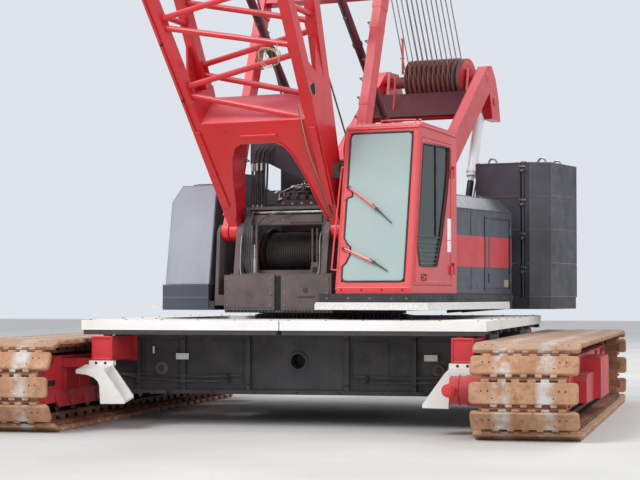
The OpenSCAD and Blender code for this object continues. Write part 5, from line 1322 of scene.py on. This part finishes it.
p = Piece("rear_trim", "upperworks", [M["dark"], M["zinc"], M["lens_red"], M["lens_amber"], M["hose"], M["bed"]], UP)
for s in (-1, 1):
    p.box((s * 0.86, 4.118, 1.47), (s * 1.14, 4.142, 1.57), 0, 0.006)
    p.box((s * 0.88, 4.140, 1.485), (s * 0.99, 4.152, 1.555), 2, 0.004)
    p.box((s * 1.01, 4.140, 1.485), (s * 1.12, 4.152, 1.555), 3, 0.004)
    for k in range(5):
        p.bolt((s * (0.40 + 0.0), 2.75 + k * 0.12, 1.998), (0, 0, 1), 0.015, 0.014, 1)
p.box((-0.9, 4.120, 1.455), (0.9, 4.136, 1.575), 0, 0.006)
for k in range(9):
    p.bolt((-0.8 + k * 0.2, 4.136, 1.515), (0, 1, 0), 0.012, 0.011, 1)
p.box((-0.70, 3.302, 1.66), (0.70, 3.318, 1.95), 5, 0.004)
for x in (-0.6, -0.3, 0, 0.3, 0.6):
    p.bolt((x, 3.318, 1.80), (0, 1, 0), 0.014, 0.012, 1)
p.done()

# ---------------------------------------------------------------- gantry
GH = (3.420, 4.930)
p = Piece("gantry_trim", "upperworks", [M["red"], M["maroon"], M["oily"], M["cab"], M["hole"]], UP)
for s in (-1, 1):
    # shaft caps and foot pins
    p.cyl((s * 0.903, GH[0], GH[1]), (s * 0.926, GH[0], GH[1]), 0.072, 0, 28, c=0.006)
    p.cyl((s * 0.919, 3.70, 4.60), (s * 0.932, 3.70, 4.60), 0.070, 0, 24, c=0.005)
    # stiffening ribs on the outer faces and bolted feet
    for y0, y1, z in ((1.885, 2.140, 2.60), (1.885, 2.160, 3.10)):
        p.box((s * 0.919, y0 + 0.01, z - 0.010), (s * 0.935, y1 - 0.02, z + 0.010), 0, 0.003)
    p.box((s * 0.740, 1.80, 1.992), (s * 0.950, 2.24, 2.020), 0, 0.005)
    for y in (1.835, 2.205):
        for x in (0.79, 0.90):
            p.bolt((s * x, y, 2.020), (0, 0, 1), 0.018, 0.018, 2)
    # weld beads along the front edge
    p.tube([(s * 0.772, 1.957, 3.803), (s * 0.772, 3.400, 5.112)], 0.006, 0, 6)
    p.tube([(s * 0.918, 1.957, 3.803), (s * 0.918, 3.400, 5.112)], 0.006, 0, 6)
# dark cross plate with its lower fold
at = MT(0, 2.874, 4.345) @ MR(-43, "X")
p.box((-0.768, -0.075, -0.108), (0.768, -0.060, 0.45), 1, 0.004, at)
p.box((-0.768, -0.100, -0.110), (0.768, -0.060, -0.080), 1, 0.005, at)
# thin upright plate at the left end of the nest and a thin post behind it
p.prism([(-0.440, 4.30), (-0.418, 4.30), (-0.384, 4.72), (-0.380, 5.00), (-0.402, 5.00), (-0.408, 4.72)], "xz", 2.875, 2.890, 3)
p.tube([(-0.39, 2.883, 4.31), (-0.40, 2.95, 4.28)], 0.012, 3, 8)
p.tube([(-0.497, 3.40, 5.06), (-0.500, 3.40, 5.60)], 0.018, 3, 10)
p.box((-0.540, 3.380, 5.300), (-0.460, 3.400, 5.318), 3, 0.004)
p.cyl((-0.500, 3.40, 5.59), (-0.500, 3.40, 5.62), 0.026, 0, 12, c=0.006)
p.done()

p = Piece("strut_trim", "upperworks", [M["white"], M["dark"], M["steel"], M["oily"], M["hose"]], UP)
for s in (-1, 1):
    a, b, c = Vector((s * 0.690, 2.859, 2.150)), Vector((s * 0.690, 3.310, 3.464)), Vector((s * 0.690, 3.678, 4.536))
    d = (c - a).normalized()
    # dark sleeve on the rod, scraper ring of the barrel, port and hose
    p.lathe([(0.0455, 0), (0.052, 0.004), (0.052, 1.235), (0.0455, 1.240)], tuple(a + d * 0.04), tuple(d), 1, 24)
    p.lathe([(0.0790, 0), (0.090, 0.004), (0.090, 0.050), (0.0790, 0.055)], tuple(b + d * 0.02), tuple(d), 0, 28)
    p.lathe([(0.0790, 0), (0.088, 0.004), (0.088, 0.070), (0.0790, 0.075)], tuple(c - d * 0.24), tuple(d), 0, 28)
    q = b + d * 0.16
    p.cyl(tuple(q + Vector((s * 0.070, 0, 0))), tuple(q + Vector((s * 0.115, 0, 0))), 0.018, 3, 12)
    p.curve([tuple(q + Vector((s * 0.105, 0, 0))), (s * 0.800, 3.30, 3.50), (s * 0.790, 3.05, 2.90), (s * 0.770, 2.86, 2.30), (s * 0.765, 2.84, 2.02)], 0.012, 4, 8, 7)
    p.cyl((s * 0.632, 2.86, 2.12), (s * 0.748, 2.86, 2.12), 0.045, 2, 20, c=0.005)
    for x in (0.66, 0.72):
        for y in (2.77, 2.95):
            p.bolt((s * x, y, 2.200), (0, 0, 1), 0.011, 0.010, 3)
p.done()

p = Piece("sheave_rope_gantry", "gantry_sheaves", [M["fall"], M["stripe"], M["oily"], M["grey"]], UP)
for i in range(10):
    x = -0.30 + i * 0.08
    pts = []
    for k in range(33):
        a = math.radians(-150 + 300 * k / 32)
        pts.append((x, GH[0] - 0.2775 * math.cos(a + math.pi), GH[1] + 0.2775 * math.sin(a + math.pi)))
    p.tube(pts, 0.0100, 0, 6)
# pale worn face of the last sheave, red face of the outer disc
p.lathe([(0.252, 0), (0.326, 0), (0.326, 0.004), (0.252, 0.004)], (0.460, GH[0], GH[1]), (1, 0, 0), 3, 48)
p.lathe([(0.095, 0), (0.313, 0), (0.313, 0.005), (0.095, 0.005)], (0.600, GH[0], GH[1]), (1, 0, 0), 1, 48)
for k in range(8):
    a = 2 * math.pi * k / 8
    p.bolt((0.605, GH[0] + 0.16 * math.cos(a), GH[1] + 0.16 * math.sin(a)), (1, 0, 0), 0.012, 0.010, 2)
p.done()

# ---------------------------------------------------------------- mast
p = Piece("mast_trim", "mast", [M["red"], M["zinc"], M["steel"], M["hole"]], MAST)
for s in (-1, 1):
    p.lathe([(0.0615, 0), (0.105, 0), (0.105, 0.008), (0.0615, 0.012)], (s * 0.936 if False else s * 0.934, 0, 0), (s, 0, 0), 0, 28)
    # bands on the legs where the sections are welded, bolts at the head
    for z in (0.60, 1.70, 2.80):
        x0, x1 = 0.832, 0.968
        p.box((s * x0, -0.105, z), (s * x1, 0.105, z + 0.060), 0, 0.004)
    for z in (7.62, 7.74):
        for y in (-0.09, 0.09):
            p.bolt((s * 0.541, y, z), (s, 0, 0), 0.013, 0.012, 1)
    p.cyl((s * 0.640, 0, 8.0), (s * 0.662, 0, 8.0), 0.062, 2, 24, c=0.005)
    # rungs inside the leg
    for k in range(9):
        z = 0.75 + k * 0.27
        p.tube([(s * 0.835, -0.06, z), (s * 0.775, -0.05, z), (s * 0.775, 0.05, z), (s * 0.835, 0.06, z)], 0.009, 1, 6)
    # pendant pins at the head
    p.cyl((s * 0.545, 0, 8.0), (s * 0.560, 0, 8.0), 0.075, 2, 20, c=0.004)
for z in (3.38,):
    for k in range(7):
        p.bolt((-0.72 + k * 0.24, -0.081, z), (0, -1, 0), 0.013, 0.011, 1)
        p.bolt((-0.72 + k * 0.24, 0.081, z), (0, 1, 0), 0.013, 0.011, 1)
for s in (-1, 1):
    p.tube([(s * 0.52, 0.20, 8.12), (s * 0.50, 0.33, 8.0)], 0.012, 1, 8)
p.tube([(-0.50, 0.335, 8.0), (0.50, 0.335, 8.0)], 0.014, 1, 8)
p.done()

p = Piece("sheave_rope_mast", "mast_sheaves", [M["fall"], M["zinc"]], MAST)
for i in range(10):
    x = -0.36 + i * 0.08
    pts = []
    for k in range(33):
        a = math.radians(-150 + 300 * k / 32)
        pts.append((x, 0.2425 * math.cos(a + math.pi / 2) * -1, 8.0 + 0.2425 * math.sin(a + math.pi / 2)))
    p.tube(pts, 0.0115, 0, 6)
p.done()

# luffing rope between the gantry's sheaves and the mast head, in straight falls
mh = MAST @ Vector((0, 0, 8.0))
mast_u = UP.inverted() @ mh
fall = Piece("luffing_rope_falls", "upperworks", [M["fall"]], UP)
g0 = Vector((0, GH[0], GH[1]))
m0 = Vector((0, mast_u.y, mast_u.z))
dirn = (m0 - g0).normalized()
side = Vector((0, -dirn.z, dirn.y))
for i in range(10):
    for e in (-1, 1):
        a = g0 + side * (e * 0.272) + Vector((-0.30 + i * 0.08, 0, 0))
        b = m0 + side * (e * 0.240) + Vector((-0.36 + i * 0.08, 0, 0))
        fall.tube([a, b], 0.0085, 0, 6)
o = fall.done(ride=False)
ga, gb = UP @ (g0 + dirn * 0.6), UP @ (m0 - dirn * 0.6)
tuple(ga)
tuple(gb)
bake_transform(o)

# ---------------------------------------------------------------- boom
ST = [(0.25, 0.832, 0.042), (3.8, 1.04, 0.397), (7.6, 1.04, 0.776), (12.0, 1.04, 0.776), (17.3, 0.46, 0.330)]


def station(s, k):
    for i in range(len(ST) - 1):
        if s <= ST[i + 1][0] or i == len(ST) - 2:
            a, b = ST[i], ST[i + 1]
            return a[k] + (b[k] - a[k]) * (s - a[0]) / (b[0] - a[0])


def corner(a, b, s):
    return Vector((a * (station(s, 1) - 0.075), b * station(s, 2) + 0.05, s))


p = Piece("boom_foot_trim", "boom", [M["red"], M["oily"], M["steel"], M["hole"], M["hose"], M["stripe"], M["cable"]], BOOM)
for s in (-1, 1):
    p.lathe([(0.0615, 0), (0.125, 0), (0.125, 0.010), (0.0615, 0.014)], (s * 0.690, 0, 0), (-s, 0, 0), 0, 28)
    # weld beads and doublers on the foot plates
    pts = [(s * 0.690, -0.098, 0.20), (s * 0.650, -0.110, 0.27), (s * 0.600, -0.122, 0.48), (s * 0.530, -0.150, 0.85), (s * 0.440, -0.176, 1.15), (s * 0.360, -0.190, 1.29), (s * 0.270, -0.194, 1.33)]
    p.tube(pts, 0.008, 0, 6)
    p.prism([(0.705, 0.42), (0.815, 0.42), (0.885, 1.55), (0.800, 1.55)] if s > 0 else [(-0.705, 0.42), (-0.800, 1.55), (-0.885, 1.55), (-0.815, 0.42)],
            "xz", -0.012, 0.004, 0, MT(0, -0.070 - 0.0, 0) @ MR(5.0, "X") @ MT(0, -0.006, 0), c=0.003)
# oval slot of the right gusset, a near-black plate as painted shade, with its worn rim
slot = []
for k in range(20):
    a = 2 * math.pi * k / 20
    slot.append((-0.150 + 0.062 * math.cos(a) - 0.034 * math.sin(a) * 0, 2.062 + 0.125 * math.sin(a)))
p.prism(slot, "yz", 0.9365, 0.9395, 3)
rim = [(-0.150 + 0.066 * math.cos(math.radians(a)), 2.062 + 0.131 * math.sin(math.radians(a))) for a in range(0, 360, 15)]
p.tube([(0.939, y, z) for y, z in rim], 0.0045, 6, 6, closed=True)
# thin rope loops over the lower lacing
for k, (x, z, rx, rz) in enumerate(((0.555, 2.555, 0.150, 0.120), (0.600, 2.585, 0.095, 0.060), (0.545, 2.545, 0.138, 0.128))):
    pts = []
    for a in range(28):
        t = a / 28 * 2 * math.pi
        wob = 1 + 0.10 * math.sin(3 * t + k) + 0.05 * math.sin(5 * t + 2 * k)
        pts.append((x + rx * wob * math.cos(t), -0.34 - 0.014 * k - 0.01 * math.sin(2 * t + k), z + rz * wob * math.sin(t)))
    p.tube(pts, 0.0055, 6, 6, closed=True)
p.curve([(0.66, -0.345, 2.62), (0.70, -0.36, 2.68), (0.715, -0.35, 2.74)], 0.0055, 6, 6, 5)
# signal cable down the front of the right leg
p.curve([(0.724, -0.235, 1.86), (0.706, -0.226, 1.60), (0.694, -0.215, 1.22), (0.716, -0.168, 0.80), (0.732, -0.128, 0.45), (0.742, -0.118, 0.24)], 0.008, 4, 6, 8)
p.curve([(0.731, -0.236, 1.86), (0.714, -0.228, 1.60), (0.703, -0.216, 1.22), (0.724, -0.168, 0.80), (0.740, -0.128, 0.45), (0.750, -0.118, 0.24)], 0.005, 6, 6, 8)
# hydraulic line up the left chord, clipped to it
line = [corner(-1, -1, s) + Vector((-0.035 + 0.004 * math.sin(s * 9), -0.092, 0)) for s in [0.9 + 0.3 * k for k in range(22)]]
p.tube(line, 0.010, 5, 6)
for k in range(8):
    s_ = 1.2 + k * 0.8
    c = corner(-1, -1, s_)
    p.box((c.x - 0.052, c.y - 0.104, c.z - 0.015), (c.x - 0.018, c.y - 0.074, c.z + 0.015), 1, 0.002)
p.done()

p = Piece("boom_joint_pins", "boom", [M["steel"], M["zinc"], M["red"]], BOOM)
for s_ in (7.52, 7.68, 11.92, 12.07):
    for a in (-1, 1):
        for b in (-1, 1):
            c = corner(a, b, s_)
            p.cyl((c.x - 0.085, c.y, c.z), (c.x + 0.085, c.y, c.z), 0.034, 0, 16, c=0.004)
            p.tube([(c.x + a * 0.086, c.y, c.z + 0.030), (c.x + a * 0.092, c.y, c.z - 0.045)], 0.005, 1, 6)
for s_ in (7.44, 7.755, 11.845, 12.145):
    for a in (-1, 1):
        for b in (-1, 1):
            c = corner(a, b, s_)
            p.box((c.x - 0.080, c.y - 0.080, c.z - 0.012), (c.x + 0.080, c.y + 0.080, c.z + 0.012), 2, 0.004)
p.done()

# gusset collars where lacing meets the chords
p = Piece("boom_gussets", "boom", [M["red"]], BOOM)
for lst, b in (([2.10, 2.58, 3.06, 3.54, 4.10, 4.80, 5.60, 6.50], -1), ([2.20, 2.68, 3.16, 3.64, 4.20, 4.90, 5.70, 6.50], 1),
               ([8.48, 9.20, 9.92, 10.64, 11.36], -1), ([8.48, 9.20, 9.92, 10.64, 11.36], 1),
               ([12.90, 13.64, 14.36, 15.06, 15.72, 16.32], -1), ([12.90, 13.64, 14.36, 15.06, 15.72, 16.32], 1)):
    for k, s_ in enumerate(lst):
        a = -1 if k % 2 == 0 else 1
        c = corner(a, b, s_)
        x = c.x - a * 0.075
        p.prism([(x, s_ - 0.135), (x - a * 0.055, s_ - 0.07), (x - a * 0.055, s_ + 0.07), (x, s_ + 0.135)] if a < 0 else
                [(x, s_ + 0.135), (x - a * 0.055, s_ + 0.07), (x - a * 0.055, s_ - 0.07), (x, s_ - 0.135)], "xz", c.y - 0.006, c.y + 0.006, 0)
p.done()

p = Piece("boom_head_trim", "boom", [M["red"], M["zinc"], M["steel"], M["wire"], M["hole"], M["lamp"], M["lens_red"], M["dark"]], BOOM)
for s in (-1, 1):
    p.cyl((s * 0.470, -0.10, 18.0), (s * 0.492, -0.10, 18.0), 0.075, 2, 28, c=0.006)
    for k in range(6):
        a = 2 * math.pi * k / 6
        p.bolt((s * 0.449, -0.10 + 0.125 * math.cos(a), 18.0 + 0.125 * math.sin(a)), (s, 0, 0), 0.010, 0.009, 1)
    p.cyl((s * 0.560, 0.48, 17.52), (s * 0.572, 0.48, 17.52), 0.045, 2, 20, c=0.003)
    p.lathe([(0.16, 0), (0.19, 0), (0.19, 0.010), (0.16, 0.010)], (s * 0.449, -0.18, 17.48), (s, 0, 0), 0, 28)
    p.cyl((s * 0.448, -0.18, 17.48), (s * 0.4505, -0.18, 17.48), 0.16, 4, 28)
for x in (-0.34, -0.11, 0.11, 0.34):
    p.bolt((x, -0.423, 17.10), (0, -1, 0), 0.015, 0.013, 1)
    p.bolt((x, 0.423, 17.10), (0, 1, 0), 0.015, 0.013, 1)
# rope guide roller behind the head
p.cyl((-0.32, 0.30, 17.55), (0.32, 0.30, 17.55), 0.075, 2, 24, c=0.01)
p.cyl((-0.40, 0.30, 17.55), (0.40, 0.30, 17.55), 0.022, 1, 12)
# aviation lamp on its post
p.cyl((0.0, 0.02, 18.12), (0.0, 0.10, 18.26), 0.020, 0, 12)
p.cyl((0.0, 0.10, 18.26), (0.0, 0.125, 18.315), 0.045, 6, 20, c=0.012)
# rope over the point sheaves
for x in (-0.33, -0.22, -0.11, 0.11, 0.22, 0.33):
    pts = []
    for k in range(25):
        a = math.radians(20 + 250 * k / 24)
        pts.append((x, -0.10 + 0.305 * math.cos(a), 18.0 + 0.305 * math.sin(a)))
    p.tube(pts, 0.0115, 3, 6)
p.done()

# hoist ropes: from the two drums up behind the boom's cross box to the guide rollers of the head
hoist = Piece("hoist_rope_run", "upperworks", [M["wire"]], Matrix.Identity(4))
for x, y, z, r in ((0.10, -0.86, 2.18, 0.283), (-0.14, 1.50, 2.33, 0.236)):
    top = BOOM @ Vector((x, 0.385, 17.55))
    d0 = UP @ Vector((x, y, z))
    tu = UP.inverted() @ top
    v = Vector((0, tu.y - y, tu.z - z))
    L = v.length
    ang = math.atan2(v.z, v.y)
    off = math.acos(min(1, r / L))
    a = ang - off
    start = UP @ Vector((x, y + r * math.cos(a), z + r * math.sin(a)))
    hoist.tube([start, top], 0.0125, 0, 6)
o = hoist.done(ride=False)
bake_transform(o)

# ---------------------------------------------------------------- boom stops
eye_b = Vector((0, 0.8, 5.86))
eye_u = UP.inverted() @ (BOOM @ eye_b)
sv = Vector((0, eye_u.y - 1.35, eye_u.z - 2.90))
STOP = UP @ MT(0, 1.35, 2.90) @ MR(math.degrees(math.atan2(-sv.y, sv.z)), "X")
p = Piece("stop_barrel_trim", "stop_barrels", [M["maroon"], M["zinc"], M["hose"], M["steel"]], STOP)
for s in (-1, 1):
    x = s * 0.66
    for z in (0.45, 1.6, 2.8, 3.9):
        p.lathe([(0.0585, 0), (0.070, 0.004), (0.070, 0.046), (0.0585, 0.050)], (x, 0, z), (0, 0, 1), 0, 24)
    for k in range(6):
        a = 2 * math.pi * k / 6
        p.bolt((x + 0.0725 * math.cos(a) * 0.8, 0.0725 * math.sin(a) * 0.8, 4.300), (0, 0, 1), 0.007, 0.008, 1)
    p.curve([(x, -0.060, 0.6), (x, -0.085, 0.8), (x, -0.088, 2.0), (x, -0.085, 3.8), (x, -0.060, 3.98)], 0.010, 2, 8, 6)
    for z in (1.2, 2.2, 3.3):
        p.box((x - 0.018, -0.100, z), (x + 0.018, -0.055, z + 0.02), 1, 0.002)
    p.cyl((x - 0.052, 0, 0), (x - 0.041, 0, 0), 0.052, 3, 20, c=0.003)
p.done()
p = Piece("stop_eye_trim", "boom", [M["steel"], M["red"], M["zinc"]], BOOM)
for s in (-1, 1):
    p.lathe([(0.040, 0), (0.066, 0), (0.066, 0.010), (0.040, 0.012)], (s * 0.750, 0.8, 5.86), (s, 0, 0), 1, 24)
p.done()

# ---------------------------------------------------------------- hook block
bp = UP.inverted() @ (BOOM @ Vector((0, -0.1, 18.0)))
HOOK = UP @ MT(0, bp.y - 0.355, bp.z - 3.6)
p = Piece("hook_trim", "hook", [M["red"], M["steel"], M["zinc"], M["dark"], M["stripe"], M["wire"]], HOOK)
for s in (-1, 1):
    p.cyl((s * 0.310, 0, 0), (s * 0.332, 0, 0), 0.072, 1, 28, c=0.006)
    p.box((s * 0.300, -0.13, -0.105), (s * 0.312, 0.13, -0.062), 2, 0.003)
    for y in (-0.09, 0.09):
        p.bolt((s * 0.312, y, -0.083), (s, 0, 0), 0.009, 0.009, 2)
    # cheek weights
    p.prism(rounded(-0.14, 0.14, -0.36, -0.14, 0.04), "yz", s * 0.300, s * 0.345, 0, c=0.010)
    for y in (-0.10, 0.10):
        for z in (-0.32, -0.18):
            p.bolt((s * 0.345, y, z), (s, 0, 0), 0.010, 0.010, 2)
for x in (-0.22, -0.11, 0.11, 0.22):
    pts = []
    for k in range(25):
        a = math.radians(180 + 180 * k / 24)
        pts.append((x, 0.200 * math.cos(a), 0.02 + 0.200 * math.sin(a)))
    p.tube(pts, 0.011, 5, 6)
p.cyl((0, 0, -0.60), (0, 0, -0.56), 0.105, 1, 28, c=0.008)
p.cyl((0, 0, -0.795), (0, 0, -0.835), 0.062, 3, 6)
# safety latch of the hook
p.prism([(0.165, -0.885), (0.180, -0.870), (-0.045, -1.02), (-0.060, -1.04)], "yz", -0.022, 0.022, 2)
p.done()

# ---------------------------------------------------------------- floor and light
me = bpy.data.meshes.new("floor")
S = 90
me.from_pydata([(-S, -S, 0), (S, -S, 0), (S, S, 0), (-S, S, 0)], [], [(0, 1, 2, 3)])
me.materials.append(M["floor"])
floor = bpy.data.objects.new("floor", me)
bpy.context.scene.collection.objects.link(floor)
floor.location.z = -0.002

world = bpy.data.worlds.new("world")
bpy.context.scene.world = world
world.use_nodes = True
bg = world.node_tree.nodes["Background"]
bg.inputs["Color"].default_value = (0.86, 0.91, 0.97, 1)
bg.inputs["Strength"].default_value = 0.85


def area(name, loc, target, size, power, col=(1, 1, 1)):
    d = bpy.data.lights.new(name, "AREA")
    d.shape = "DISK"
    d.size = size
    d.energy = power
    d.color = col
    o = bpy.data.objects.new(name, d)
    bpy.context.scene.collection.objects.link(o)
    o.location = loc
    o.rotation_euler = (Vector(target) - Vector(loc)).to_track_quat("-Z", "Y").to_euler()
    return o


area("key", (-16, -22, 30), (0, 0, 3), 16, 9000, (1.0, 0.98, 0.95))
area("fill", (26, -26, 14), (0, 0, 3), 14, 3000, (0.93, 0.96, 1.0))
area("rim", (10, 30, 26), (0, 0, 6), 14, 4500)

vs = bpy.context.scene.view_settings
vs.view_transform = "Standard"
vs.look = "None"
vs.exposure = 0.0
vs.gamma = 1.0

bpy.context.view_layer.update()
